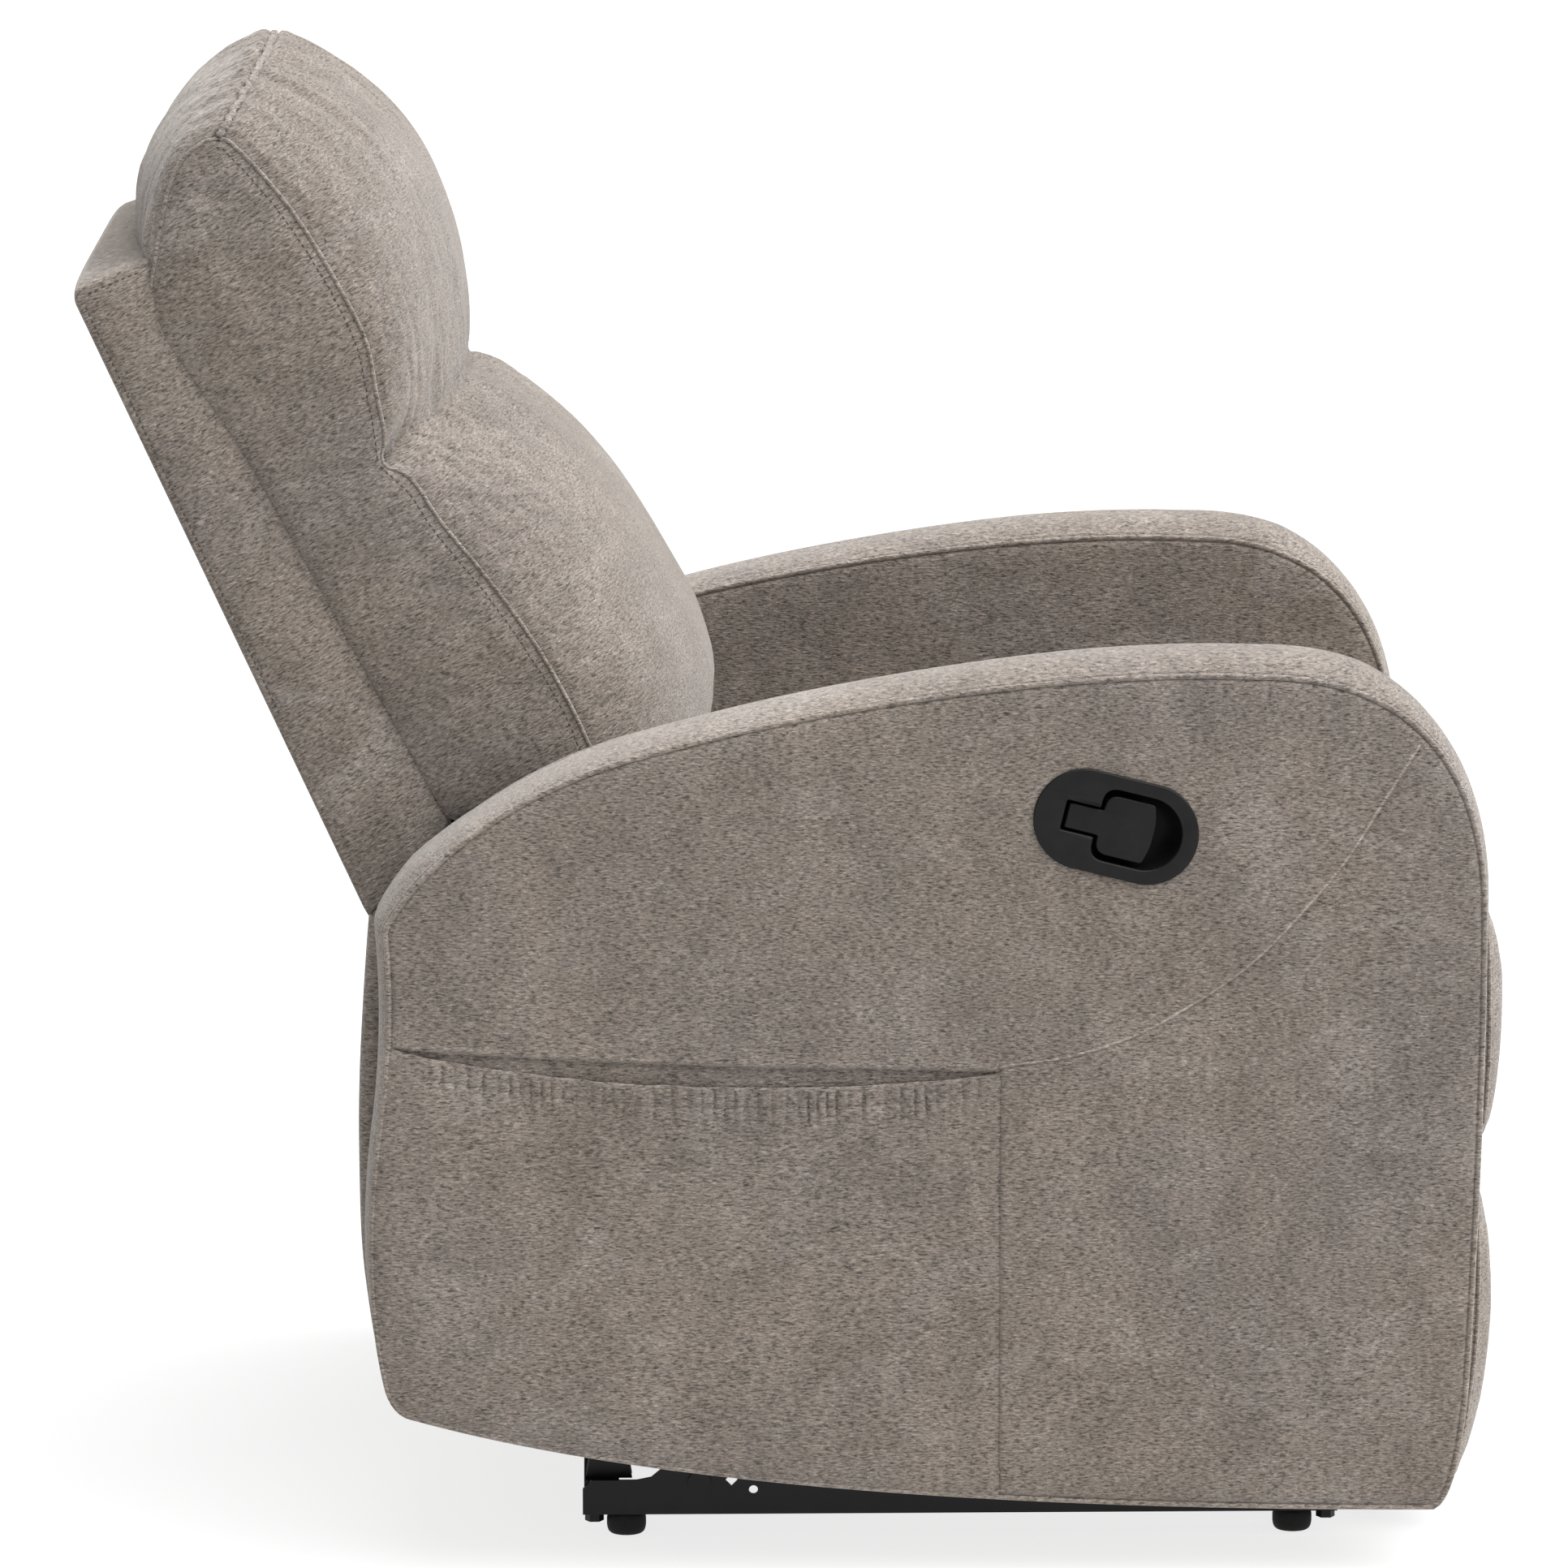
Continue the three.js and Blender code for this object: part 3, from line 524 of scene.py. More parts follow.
def stitches(name, path, long=2.7, pitch=4.6, radius=0.52):
    """A row of short thread stitches along a 3-D line in metres."""
    total = np.linalg.norm(np.diff(path, axis=0), axis=1).sum() / MM
    count = int(total / pitch)
    spots = even(path, count * 2 + 1)
    verts, faces = [], []
    for i in range(count):
        a, b = spots[2 * i], spots[2 * i + 1]
        mid = (a + b) / 2
        along = (b - a) / np.linalg.norm(b - a)
        up = np.cross(along, [0.3, 0.2, 0.93])
        up /= np.linalg.norm(up)
        across = np.cross(along, up)
        start = len(verts)
        for at, size in ((-0.5, 0.35), (-0.3, 1), (0.3, 1), (0.5, 0.35)):
            for k in range(6):
                turn = k * math.pi / 3
                ring = math.cos(turn) * up + math.sin(turn) * across
                verts.append(mid + along * at * long * MM + ring * radius * size * MM)
        faces.extend(quads(4, 6, start=start))
        faces.append(tuple(start + k for k in range(5, -1, -1)))
        faces.append(tuple(start + 18 + k for k in range(6)))
    return mesh_object(name, verts, faces)


def beads_on(name, obj, lines, radius=0.0016, lift=0.0003):
    """A round bead along each of a piece's sewn lines, as one object."""
    tree = shell_tree(obj)
    beads = []
    for i, line in enumerate(lines):
        path = even(laid_on(tree, even(line, len(line) * 2), lift), len(line) * 2)
        beads.append(tube(f"{name}_{i}", path, radius))
    bead = join_objects(*beads)
    bead.name = name
    return bead


# ---- materials ---------------------------------------------------------------------------
class Graph:
    """A material's node tree, with short ways to add to it."""

    def __init__(self, name):
        self.material = bpy.data.materials.new(name)
        self.material.use_nodes = True
        self.tree = self.material.node_tree
        self.shader = self.tree.nodes["Principled BSDF"]

    def add(self, kind, **sockets):
        node = self.tree.nodes.new("ShaderNode" + kind)
        for key, value in sockets.items():
            self.put(node.inputs[key.replace("_", " ")], value)
        return node

    def put(self, socket, value):
        if isinstance(value, bpy.types.NodeSocket):
            self.tree.links.new(value, socket)
        else:
            socket.default_value = value

    def gloss(self, level):
        self.shader.inputs["Specular IOR Level"].default_value = level

    def shade(self, **sockets):
        for key, value in sockets.items():
            self.put(self.shader.inputs[key.replace("_", " ")], value)

    def place(self, scale=(1, 1, 1), turn=0.0):
        """Object coordinates, turned about X and then scaled."""
        where = self.add("TexCoord").outputs["Object"]
        turned = self.add("Mapping", Vector=where, Rotation=(turn, 0, 0))
        return self.add("Mapping", Vector=turned.outputs[0], Scale=scale).outputs[0]

    def noise(self, vector, scale=1.0, detail=3.0, roughness=0.55, distortion=0.0):
        node = self.add(
            "TexNoise",
            Vector=vector,
            Scale=scale,
            Detail=detail,
            Roughness=roughness,
            Distortion=distortion,
        )
        return node.outputs["Fac"]

    def ramp(self, fac, *stops):
        """Colours or grey levels at places from 0 to 1."""
        node = self.add("ValToRGB", Fac=fac)
        elements = node.color_ramp.elements
        while len(elements) < len(stops):
            elements.new(0.5)
        for element, (at, colour) in zip(elements, stops):
            element.position = at
            element.color = (*colour, 1) if hasattr(colour, "__len__") else (colour,) * 3 + (1,)
        return node.outputs["Color"]

    def mix(self, a, b, fac, how="MIX"):
        node = self.tree.nodes.new("ShaderNodeMix")
        node.data_type = "RGBA"
        node.blend_type = how
        self.put(node.inputs["Factor"], fac)
        self.put(node.inputs["A"], a)
        self.put(node.inputs["B"], b)
        return node.outputs["Result"]

    def math(self, how, a, b):
        node = self.tree.nodes.new("ShaderNodeMath")
        node.operation = how
        self.put(node.inputs[0], a)
        self.put(node.inputs[1], b)
        return node.outputs[0]

    def bump(self, height, distance, strength=1.0):
        node = self.add("Bump", Height=height, Distance=distance, Strength=strength)
        self.shade(Normal=node.outputs["Normal"])


VELOUR_WARM = (0.212, 0.180, 0.151)
VELOUR_COOL = (0.193, 0.166, 0.147)
VELOUR_PALE = (0.262, 0.232, 0.208)  # where the nap was stroked the other way


def velour(name, lean=0.0, shade=1.0):
    """Brushed velour: a crinkled nap that lies across the panel, mottled where it was stroked."""
    g = Graph(name)
    nap = g.noise(g.place((235, 235, 900), lean), 1, 3.5, 0.62, 0.5)
    fibre = g.noise(g.place((700, 700, 1500), lean), 1, 2.0, 0.6, 0.4)
    stroke = g.noise(g.place((7, 9, 15), lean), 1, 5.0, 0.62, 1.6)
    patch = g.noise(g.place((3.2, 3.8, 4.2), lean), 1, 3.0, 0.5, 0.6)
    cloud = g.noise(g.place((17, 22, 15), lean), 1, 4.0, 0.58, 0.8)
    # shade scales every colour: above 1 it paints a highlight, below 1 it paints shade.
    warm, cool, pale = (
        (*(part * shade for part in colour), 1) for colour in (VELOUR_WARM, VELOUR_COOL, VELOUR_PALE)
    )
    base = g.mix(warm, cool, g.ramp(patch, (0.36, 0.0), (0.64, 1.0)))
    base = g.mix(base, pale, g.ramp(stroke, (0.50, 0.0), (0.74, 0.75)))
    # The nap's colour follows its bump: the fibres' own speckle, with painted shade in its dips and
    # painted light on its crests.
    depth = g.ramp(nap, (0.33, 0.26), (0.48, 0.88), (0.57, 1.12), (0.70, 1.70))
    base = g.mix(base, depth, 1.0, "MULTIPLY")
    shadow = g.ramp(cloud, (0.36, 0.88), (0.64, 1.09))
    base = g.mix(base, shadow, 1.0, "MULTIPLY")
    hair = g.ramp(fibre, (0.30, 0.84), (0.70, 1.15))
    g.shade(Base_Color=g.mix(base, hair, 1.0, "MULTIPLY"), Roughness=0.95)
    g.shade(Sheen_Weight=0.55, Sheen_Roughness=0.42, Sheen_Tint=(0.93, 0.89, 0.86, 1))
    g.gloss(0.12)
    height = g.math("ADD", nap, g.math("MULTIPLY", fibre, 0.35))
    g.bump(height, 0.0015, 1.0)
    return g.material


def painted_steel():
    g = Graph("black_satin_paint")
    peel = g.noise(g.place(), 420, 3, 0.5)
    wear = g.noise(g.place(), 35, 4, 0.65, 0.5)
    g.shade(Base_Color=g.ramp(wear, (0.35, (0.005, 0.005, 0.0055)), (0.8, (0.014, 0.014, 0.015))))
    g.shade(Roughness=g.ramp(wear, (0.3, 0.34), (0.75, 0.56)))
    g.gloss(0.22)
    g.bump(peel, 0.0002, 0.35)
    return g.material


def bright_steel():
    g = Graph("zinc_plated_steel")
    drawn = g.noise(g.place((60, 900, 60)), 1, 3, 0.6)
    cloud = g.noise(g.place(), 90, 3, 0.6)
    g.shade(Base_Color=g.ramp(cloud, (0.3, (0.42, 0.42, 0.41)), (0.7, (0.60, 0.60, 0.58))))
    g.shade(Metallic=1.0, Roughness=g.ramp(drawn, (0.3, 0.28), (0.7, 0.46)))
    g.bump(drawn, 0.0001, 0.4)
    return g.material


def timber():
    g = Graph("pine_and_plywood")
    where = g.place((9, 46, 46))
    grain = g.noise(where, 1, 6, 0.62, 1.4)
    pore = g.noise(g.place((60, 900, 900)), 1, 3, 0.6)
    wood = g.ramp(
        grain,
        (0.28, (0.36, 0.21, 0.105)),
        (0.48, (0.56, 0.37, 0.20)),
        (0.72, (0.67, 0.48, 0.29)),
    )
    tone = g.ramp(pore, (0.3, 0.82), (0.6, 1.08))
    g.shade(Base_Color=g.mix(wood, tone, 1.0, "MULTIPLY"), Roughness=0.68)
    g.bump(pore, 0.0003, 0.5)
    return g.material


def grained_plastic():
    g = Graph("grained_black_plastic")
    grain = g.noise(g.place(), 2300, 2, 0.5)
    cloud = g.noise(g.place(), 60, 3, 0.6)
    g.shade(Base_Color=g.ramp(cloud, (0.3, (0.005, 0.005, 0.0055)), (0.7, (0.008, 0.008, 0.0085))))
    g.shade(Roughness=g.ramp(grain, (0.3, 0.36), (0.7, 0.55)))
    g.gloss(0.2)
    g.bump(grain, 0.00012, 0.6)
    return g.material


def moulded_rubber():
    g = Graph("moulded_rubber")
    dust = g.noise(g.place(), 140, 4, 0.65)
    g.shade(Base_Color=g.ramp(dust, (0.35, (0.005, 0.005, 0.005)), (0.8, (0.018, 0.018, 0.017))))
    g.gloss(0.2)
    g.shade(Roughness=g.ramp(dust, (0.3, 0.6), (0.7, 0.85)))
    g.bump(dust, 0.0002, 0.4)
    return g.material


def thread():
    g = Graph("sewing_thread")
    twist = g.noise(g.place((1500, 1500, 1500)), 1, 2, 0.5)
    g.shade(Base_Color=g.ramp(twist, (0.3, (0.030, 0.026, 0.023)), (0.7, (0.066, 0.058, 0.052))))
    g.shade(Roughness=0.8)
    g.bump(twist, 0.0002, 0.6)
    return g.material


VELOUR_ARM = velour("velour_upright")
# The back's velour is the arms' velour turned with the back's lean and made 0.94 as light: painted
# shade.
VELOUR_BACK_PAINTED_SHADE = velour("velour_leaning_painted_shade", BACK_LEAN, 0.94)
# The seam beads wear a 1.2 times lighter copy of the velour: a painted highlight along each folded edge.
VELOUR_FOLD_PAINTED_HIGHLIGHT = velour("velour_folded_edge_painted_highlight", shade=1.2)
# The sweep seam's bead wears a 1.6 times lighter copy of the velour: a painted highlight.
VELOUR_RAISED_PAINTED_HIGHLIGHT = velour("velour_raised_edge_painted_highlight", shade=1.6)
STEEL = painted_steel()
ZINC = bright_steel()
WOOD = timber()
PLASTIC = grained_plastic()
RUBBER = moulded_rubber()
THREAD = thread()


def dress(obj, material, slot, body, *nodes):
    """Gives a new piece its material and its place in the chair."""
    obj.data.materials.clear()
    obj.data.materials.append(material)
    if body:
        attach(obj, body)
    if nodes:
        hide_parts(*nodes)
    return obj


# ---- arms --------------------------------------------------------------------------------
ARM_SEAM = 4  # mm between an arm's faces and its side seams
ARM_SEAM_OUT = ARM_OUTER / MM - ARM_SEAM
ARM_SEAM_IN = ARM_INNER / MM + ARM_SEAM
# How far the strip round an arm stands out of its seams, at (y, z) places from the foot upwards.
ARM_CROWN = (
    (-428, 45, 0), (-447, 100, 1.5), (-456, 270, 1.5), (-458, 400, 3), (-457, 452, 6), (-446, 520, 8),
    (-416, 568, 10), (-372, 599, 14), (-306, 611, 13), (-190, 612, 12), (-60, 598, 9), (60, 572, 6.5),
    (150, 543, 4.5), (205, 513, 5), (251, 477, 10), (274, 443, 9), (284, 215, 6), (268, 113, 0),
    (0, 66, 0),
)


def arm_outline():
    parts = [
        quad((-428, 45.5), (-443, 52), (-449, 130)),
        cubic((-449, 130), (-456, 270), (-458, 390), (-457, 452)),
        cubic((-457, 452), (-457, 528), (-424, 612), (-306, 611)),
        cubic((-306, 611), (-196, 617), (-20, 594), (100, 560)),
        cubic((100, 560), (180, 540), (248, 492), (274, 443)),
        quad((274, 443), (268, 370), (279, 300)),
        quad((279, 300), (292, 205), (275, 130)),
        quad((275, 130), (270, 113), (258, 111)),
        cubic((258, 111), (120, 71), (-100, 47), (-428, 45.5)),
    ]
    return anticlockwise(even(np.vstack(parts), 560, closed=True))


ARM_LINE = arm_outline()
# The seam that sweeps from the pocket's front corner up to the front of the arm.
SWEEP = [
    (-135, 348), (-178, 354), (-221, 367), (-264, 390), (-301, 416), (-335, 450), (-366, 488),
    (-387, 521), (-404, 548), (-414, 565),
]
POCKET_FRONT, POCKET_REAR = -136, 268
POCKET_LENGTH = POCKET_REAR - POCKET_FRONT
MOUTH_SAG = 14.0
PLEAT_PITCH = 8.5


def mouth_seam(y):
    """Height of the seam above the pocket's mouth."""
    return 347 + 0.020 * (y - POCKET_FRONT) + 9 * ((y - POCKET_FRONT) / POCKET_LENGTH) ** 3


def pocket_lip(y):
    """Height of the pocket's gathered top edge, which sags between its ends."""
    part = (y - POCKET_FRONT) / POCKET_LENGTH
    return mouth_seam(y) - 1.0 - MOUTH_SAG * np.sin(math.pi * np.clip(part, 0, 1)) ** 0.7


def fold_line(points, line, depth=1.1):
    """A plain seam in a panel: a narrow groove with one edge folded up beside it."""
    gap, side = distance_to(points, line)
    return -depth * bump(gap, 0, 1.2) + 0.55 * bump(gap * side, 2.6, 1.5)


def drawn_over(gap, height):
    """An arm's face: cloth over a board, with a crease just inside its side seam."""
    return swell(gap, height, 5) - 1.8 * bump(gap, 1.4, 0.9)


def handle_well():
    """Where the arm's cover is cut for the release handle, a little inside its surround."""
    tilt = np.array([[-math.cos(HANDLE_TILT), -math.sin(HANDLE_TILT)],
                     [-math.sin(HANDLE_TILT), math.cos(HANDLE_TILT)]])
    return HANDLE_AT[1:] / MM + stadium(BEZEL_LENGTH - 7, BEZEL_WIDTH - 7) @ tilt


def make_arm(name, side, pocket):
    """An arm's cover; the one with the pocket also has the well of the release handle."""
    x_low, x_high = sorted((side * ARM_SEAM_IN, side * ARM_SEAM_OUT))
    height = spread(ARM_LINE, ARM_CROWN)
    sweep = through(SWEEP, 130)
    ys = np.linspace(POCKET_FRONT, POCKET_REAR - 2, 110)
    mouth = np.column_stack([ys, mouth_seam(ys)])
    upright = np.column_stack([np.full(70, POCKET_FRONT + 0.5), np.linspace(341, 58, 70)])
    well = [even(handle_well(), 120, closed=True)]

    def crown(part, near):
        return 0.0, shoulder(near, 40, 1.3, height)

    def outer_panel(points, gap):
        face = drawn_over(gap, 2.6)
        face += 1.5 * rough(points, 1 / 120, 3) * fade(gap, 0, 60)
        face += fold_line(points, sweep)
        y, z = points[:, 0], points[:, 1]
        if pocket:
            face = np.where(inside(points, well[0]), -28.0, face)
            behind = (y > POCKET_FRONT + 0.6) & (z < mouth_seam(y) - 0.4)
            face = np.where(behind, face - 3.0 * fade(gap, 0.5, 6), face)
            face += 0.7 * bump(z - mouth_seam(y), 1.6, 1.5) * (y > POCKET_FRONT) * fade(gap, 0, 6)
            face -= 1.0 * bump(distance_to(points, upright)[0], 0, 1.2)
        else:
            face += fold_line(points, mouth)
        return face

    def panel(points, gap, end):
        if end == side:
            return outer_panel(points, gap)
        return drawn_over(gap, 2.2) + 1.2 * rough(points, 1 / 130, 9) * fade(gap, 0, 60)

    lines = [sweep, mouth, upright, *well] if pocket else [sweep, mouth]
    seams = (lines, []) if side < 0 else ([], lines)
    return boxed(name, ARM_LINE, ARM_LINE, x_low, x_high, crown, panel, seams)


def arm_beads(name, side, cover):
    """The folded lips along an arm's two side seams, and the finer one along its sweeping seam."""
    lip = ARM_LINE + outward(ARM_LINE) * 0.5
    beads = []
    for x in (ARM_SEAM_OUT - 0.9, ARM_SEAM_IN + 0.9):
        path = at_x(side * x, lip) * MM
        beads.append(tube(f"{name}_{x}", path, 0.0019, closed=True))
    sweep = through(SWEEP, 160)
    x = side * (ARM_SEAM_OUT + 2.6)
    path = at_x(x, sweep + (1.2, 1.8)) * MM
    path = even(laid_on(shell_tree(cover), path, 0.0013), len(sweep))
    bead = join_objects(*beads)
    bead.name = name
    return bead, tube(name.replace("seams", "sweep_seam"), path, 0.0015)


arm_left = make_arm("arm_cover_left", -1, True)
arm_right = make_arm("arm_cover_right", 1, False)
beads_left, sweep_left = arm_beads("arm_seams_left", -1, arm_left)
beads_right, sweep_right = arm_beads("arm_seams_right", 1, arm_right)
dress(arm_left, VELOUR_ARM, "upholstery", "carriage", "arm_pad_left")
dress(arm_right, VELOUR_ARM, "upholstery", "carriage", "arm_pad_right")
# The seam beads and the sweep seam's bead take lighter velour copies: painted highlights.
dress(beads_left, VELOUR_FOLD_PAINTED_HIGHLIGHT, "upholstery", "carriage")
dress(beads_right, VELOUR_FOLD_PAINTED_HIGHLIGHT, "upholstery", "carriage")
dress(sweep_left, VELOUR_RAISED_PAINTED_HIGHLIGHT, "upholstery", "carriage")
dress(sweep_right, VELOUR_RAISED_PAINTED_HIGHLIGHT, "upholstery", "carriage")


# ---- pocket ------------------------------------------------------------------------------
def make_pocket():
    """The pocket's front, gathered by an elastic along its mouth."""
    line = ARM_LINE
    keep = (line[:, 0] > POCKET_FRONT) & (line[:, 1] < pocket_lip(line[:, 0]) + 1)
    low = line[keep]  # from the front along the arm's foot and up its rear edge
    top_y = np.linspace(low[-1, 0] - 0.5, POCKET_FRONT, 260)
    top = np.column_stack([top_y, pocket_lip(top_y)])
    front = np.column_stack([np.full(60, POCKET_FRONT), np.linspace(top[-1, 1], low[0, 1], 62)[1:-1]])
    loop = anticlockwise(even(np.vstack([low, top, front]), 760, closed=True))
    band = np.column_stack([top_y, pocket_lip(top_y) - 14])
    flat, triangles = panel_points(loop, [band], 4)
    drop = pocket_lip(flat[:, 0]) - flat[:, 1]  # below the lip
    ends = fade(flat[:, 0], POCKET_FRONT, POCKET_FRONT + 30)
    ends *= fade(-flat[:, 0], -POCKET_REAR, 33 - POCKET_REAR)
    sewn, _ = distance_to(flat, np.vstack([front, low]))
    wave = rough(np.column_stack([flat[:, 0], drop * 0.12]), 1 / 15, 21)
    phase = flat[:, 0] / PLEAT_PITCH + 1.6 * rough(flat * [1, 0.1], 1 / 34, 22)
    deep = 0.55 + 0.45 * fade(rough(flat * [1, 0.05], 1 / 12, 23), -0.25, 0.25)
    tuck = deep * np.exp(-((np.sin(math.pi * phase) / 0.36) ** 2))
    gather = 4.0 * wave * np.exp(-np.maximum(drop - 14, 0) / 36)
    gather -= 3.0 * tuck * fade(drop, 1, 6) * np.exp(-np.maximum(drop - 16, 0) / 14)
    gather = gather * ends * fade(sewn, 0, 12)
    face = 0.4 + swell(sewn, 2.6, 6)
    face += 1.6 * ends * np.exp(-drop / 60)
    face += 2.0 * rough(flat, 1 / 95, 31) * fade(sewn, 0, 50)
    face += gather - 0.9 * bump(drop, 14, 1.3) * ends
    face -= 1.6 * np.exp(-np.maximum(drop, 0) / 1.4)
    x = -ARM_SEAM_OUT - face
    obj = mesh_object("side_pocket", np.column_stack([x, flat]) * MM, triangles)
    return thicken(obj, 0.0022, -1)


pocket = make_pocket()
dress(pocket, VELOUR_ARM, "upholstery", "carriage", "pocket_panel")


# ---- back cushion ------------------------------------------------------------------------
BACK_FOOT = np.array([288.0, 435.0])
BACK_UP = np.array([482.0, 858.0]) - BACK_FOOT
BACK_LENGTH = float(np.linalg.norm(BACK_UP))
BACK_UP /= BACK_LENGTH
BACK_IN = np.array([-BACK_UP[1], BACK_UP[0]])  # from the back's rear face towards the sitter


def on_back(up, deep):
    """A (y, z) point this far up the back's rear face and this deep in it, in mm."""
    return BACK_FOOT + BACK_UP * up + BACK_IN * deep


CUSHION_HALF = 268
CUSHION_CROWN = crowned(2.7, 0.52)
EAR = np.array([385.0, 961.0])  # the ridge seam's ends, at the side seams
RIDGE = np.array([359.0, 1003.0])  # the ridge seam in the middle of the chair
CREASE = (262, 760)  # the fold between head and lumbar, in the middle of the chair
HEEL = on_back(36, 73)

# Each stretch of the cushion's outline: where it is sewn to the side panels, where it runs in
# the middle of the chair, and how many points the two lines share.
HEAD_FRONT = (
    [EAR, (375, 956), (352, 932), (330, 903), (304, 859), (287, 823), (280, 786), (271, 745)],
    [
        RIDGE, (344, 1000), (322, 991), (302, 978), (280, 958), (263, 936), (251, 914),
        (244, 891), (237, 869), (232, 846), (229, 823), (228, 800), (231, 778), (243, 764), CREASE,
    ],
    66,
)
LUMBAR_FRONT = (
    [
        (271, 745), (254, 727), (238, 702), (202, 657), (174, 617), (152, 578), (137, 545),
        (127, 518), (124, 496), (134, 472),
    ],
    [
        CREASE, (242, 771), (212, 771), (178, 749), (151, 725), (131, 703), (115, 682), (98, 655),
        (79, 622), (67, 600), (58, 573), (53, 552), (50, 524), (56, 492), (82, 471), (120, 466),
    ],
    84,
)
UNDERSIDE = ([(134, 472), HEEL], [(120, 466), HEEL], 24)
BEHIND = (
    [HEEL, on_back(250, 60), on_back(330, 53), (425, 822), (431, 860)],
    [HEEL, on_back(250, 60), on_back(330, 53), (428, 828), (440, 872)],
    60,
)
HEAD_REAR = (
    [(431, 860), (427, 879), (423, 903), (417, 928), (409, 945), (398, 955), EAR],
    [(440, 872), (452, 901), (444, 937), (430, 964), (415, 986), (395, 999), (375, 1004), RIDGE],
    26,
)
CUSHION_PARTS = (HEAD_FRONT, LUMBAR_FRONT, UNDERSIDE, BEHIND, HEAD_REAR)


def loops(parts):
    """The sewn line and the middle line of a cushion, point for point."""
    lines = [
        np.vstack([through(part[which], part[2] + 1)[:-1] for part in parts]) for which in (0, 1)
    ]
    flip = np.cross(lines[0], np.roll(lines[0], -1, axis=0)).sum() < 0
    return [line[::-1] if flip else line for line in lines]


def gathers(obj, line, reach, height, wave, seed, side=None):
    """Puckers that run out from a gathered seam across the chair, on the part where side is true."""
    pts = coords(obj)
    gap = nearest(pts, [line])
    across = np.column_stack([pts[:, 0] * 1000, gap * 60, np.zeros(len(pts))])
    ripple = 2 * rough(across, 1 / wave, seed) + rough(across, 2.1 / wave, seed + 1)
    ripple -= 1.3 * np.exp(-((rough(across, 0.8 / wave, seed + 2) / 0.11) ** 2))
    keep = np.exp(-gap / reach) * fade(gap, 0.0, 0.004) * fade(BACK_HALF - abs(pts[:, 0]), 0, 0.03)
    if side is not None:
        keep = keep * side(pts)
    push(obj, height * ripple * keep)


def pinch(obj, line, depth, width):
    """Draws the cover in behind a seam across the chair, towards the back."""
    pull = depth * np.exp(-nearest(coords(obj), [line]) / width)
    inwards = -np.array([0, *BACK_IN])
    set_coords(obj, coords(obj) + pull[:, None] * inwards)


def across_line(y, z, half, count=80, sag=0.0):
    """A 3-D line across the chair at (y, z) in mm, lower by sag at its ends."""
    xs = np.linspace(-half, half, count)
    return np.column_stack([xs, np.full(count, y * MM), z * MM - sag * (xs / half) ** 2])


def make_back_cushion():
    """Head and lumbar in one cover, with the lines it is sewn along."""
    seam, middle = loops(CUSHION_PARTS)

    def panel(points, gap, end):
        return swell(gap, 6.5, 9) + 1.5 * rough(points, 1 / 90, 5) * fade(gap, 4, 50)

    half = CUSHION_HALF
    cushion = boxed("back_cushion", seam, middle, -half, half, CUSHION_CROWN, panel)
    head = through(HEAD_FRONT[0], 70)
    lumbar = through(LUMBAR_FRONT[0], 90)
    rear = through(HEAD_REAR[0], 30)
    sewn = [line for part in (head, lumbar, rear) for line in on_sides(part, half)]
    crease = across_line(*CREASE, 0.262, sag=0.012)
    hidden = [line for part in (UNDERSIDE, BEHIND) for line in on_sides(through(part[0], 40), half)]
    inflate(cushion, [*sewn, ridge_seam(), crease, *hidden], 0.0055, 0.010, shrink=0.004)
    pinch(cushion, crease, 0.024, 0.009)
    return cushion, sewn, crease


def seam_top(part):
    """The gathered seam over the headrest, from one ear to the other, as (y, z) in mm."""
    rise, _ = CUSHION_CROWN(part, 0)
    return EAR + (RIDGE - EAR) * rise


def ridge_seam(count=150):
    """The same seam as a 3-D line in metres."""
    parts = np.sin(np.linspace(-1, 1, count) * math.pi / 2)
    line = np.array([seam_top(part) for part in parts])
    return np.column_stack([parts * CUSHION_HALF * MM, line * MM])


back_cushion, back_sewn, crease_line = make_back_cushion()
ridge_line = ridge_seam()
gathers(back_cushion, ridge_line, 0.07, 0.0030, 26, 41, lambda p: fade(EAR[0] * MM - p[:, 1], -0.03, 0))
gathers(back_cushion, crease_line, 0.055, 0.0022, 25, 47)


def groove_and_fold(obj, lines, depth=0.0014, lip=0.0009, away=0.0026, width=0.0013):
    """Sinks a seam into a piece and lifts the cloth beside it."""
    gap = nearest(coords(obj), lines)
    return push(obj, -depth * bump(gap, 0, width) + lip * bump(gap, away, 1.4 * width))


groove_and_fold(back_cushion, [ridge_line], 0.0038, 0.0006, 0.008, 0.0032)


def trim_back():
    """The folded side seams, the ridge seam and the topstitching of the back cushion."""
    beads = beads_on("back_cushion_seams", back_cushion, back_sewn, 0.0013, 0.0004)
    tree = shell_tree(back_cushion)
    top = tube("bead_top", even(laid_on(tree, ridge_line, 0.0015), 220), 0.0026)
    threads = []
    for side in (-1, 1):
        for part in (HEAD_FRONT, LUMBAR_FRONT):
            seam = through(part[0], 120)
            inner = sideways(seam)
            if inner[:, 0].mean() < 0:
                inner = -inner
            row = at_x(side * 0.28, (seam + inner * THREAD_AWAY) * MM)
            threads.append(stitches(f"thread_{len(threads)}", laid_on(tree, row, THREAD_LIFT)))
    return join_objects(beads, top), join_objects(*threads)


back_beads, back_threads = trim_back()
back_threads.name = "back_cushion_topstitch"
dress(back_cushion, VELOUR_BACK_PAINTED_SHADE, "upholstery", "back", "head_cushion", "lumbar_cushion")
dress(back_beads, VELOUR_FOLD_PAINTED_HIGHLIGHT, "upholstery", "back")
dress(back_threads, THREAD, "upholstery", "back")


